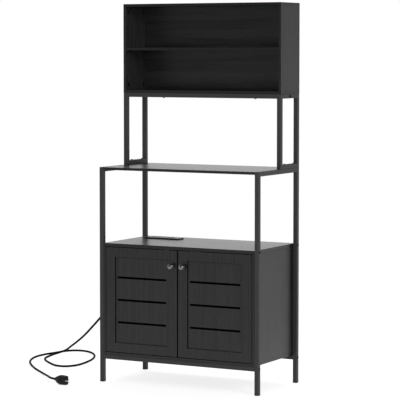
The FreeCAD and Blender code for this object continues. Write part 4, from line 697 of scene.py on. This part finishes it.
# %% The bead
BEAD_RADIUS = 2.3
BEAD_STEP = 1.6
BEAD_SIDES = 10
RIPPLE = (1.0, 0.84)
END_TAPER = 0.55
FEWEST_STEPS = 4


def bead(shape, start, end):
    """A rippled bead between two points, in metres."""
    start = Vector(start)
    along = Vector(end) - start
    steps = max(FEWEST_STEPS, round(along.length / (BEAD_STEP * MM)))
    turn = along.to_track_quat("Z", "Y").to_matrix().to_4x4()
    loops = []
    for step in range(steps + 1):
        share = step / steps
        taper = END_TAPER if step in (0, steps) else RIPPLE[step % 2]
        place = Matrix.Translation(start + along * share) @ turn
        ring = bmesh.ops.create_circle(shape, radius=BEAD_RADIUS * MM * taper, matrix=place,
                                       segments=BEAD_SIDES, cap_ends=step in (0, steps))["verts"]
        loops.append(list({edge for point in ring for edge in point.link_edges}))
    for first, second in zip(loops, loops[1:]):
        bmesh.ops.bridge_loops(shape, edges=first + second)


print("bead ripples", BEAD_STEP, "mm apart")

# %% Beads in the frame's inner corners
BEAD_END_GAP = 2.5 * MM


def corner_beads(shape, tube_name, inner_face, level):
    """One bead across a tube's inner corner at this height, on the left and on the right."""
    low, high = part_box(tube_name)
    for mirror in (1, -1):
        bead(shape, (mirror * (low.x + BEAD_END_GAP), inner_face, level),
             (mirror * (high.x - BEAD_END_GAP), inner_face, level))


welds = bmesh.new()
leg_low, leg_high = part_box("front_left_leg")
rear_leg_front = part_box("rear_left_leg")[0].y
under_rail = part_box("left_shelf_rail")[0].z
corner_beads(welds, "front_left_leg", leg_high.y, under_rail)
corner_beads(welds, "rear_left_leg", rear_leg_front, under_rail)
front_post_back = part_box("hutch_front_left_post")[1].y
rear_post_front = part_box("hutch_rear_left_post")[0].y
for level in (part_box("hutch_left_bottom_rail")[1].z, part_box("hutch_left_top_rail")[0].z):
    corner_beads(welds, "hutch_front_left_post", front_post_back, level)
    corner_beads(welds, "hutch_rear_left_post", rear_post_front, level)
print("corner beads", len(welds.faces), "faces")

# %% Beads at the ends of the long rails
front_low, front_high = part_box("hutch_front_rail")
back_low, back_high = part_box("hutch_rear_rail")
for end in (front_low.x, front_high.x):
    for low, high, inner in ((front_low, front_high, front_high.y), (back_low, back_high, back_low.y)):
        bead(welds, (end, low.y + BEAD_END_GAP, low.z), (end, high.y - BEAD_END_GAP, low.z))
        bead(welds, (end, inner, low.z + BEAD_END_GAP), (end, inner, high.z - BEAD_END_GAP))
print("with the rails' beads", len(welds.faces), "faces")

# %% Beads under the shelf tabs
TAB_CENTRES = (70 * MM, 330 * MM)
TAB_HALF = 15 * MM
TAB_LEVEL = 954 * MM

for mirror in (1, -1):
    for centre in TAB_CENTRES:
        middle = leg_low.y + centre
        bead(welds, (mirror * leg_high.x, middle - TAB_HALF + BEAD_END_GAP, TAB_LEVEL),
             (mirror * leg_high.x, middle + TAB_HALF - BEAD_END_GAP, TAB_LEVEL))
make_piece("frame_weld_beads", welds, powder, "rack")

# %% [markdown]
# ## Checking and finishing
#
# Any solid left without a finish is printed, and the colours are shown with the plain Standard view.

# %% Checking and finishing
print("solids without a finish:", sorted(set(nodes) - finished))
scene.view_settings.view_transform = "Standard"
bpy.context.view_layer.update()
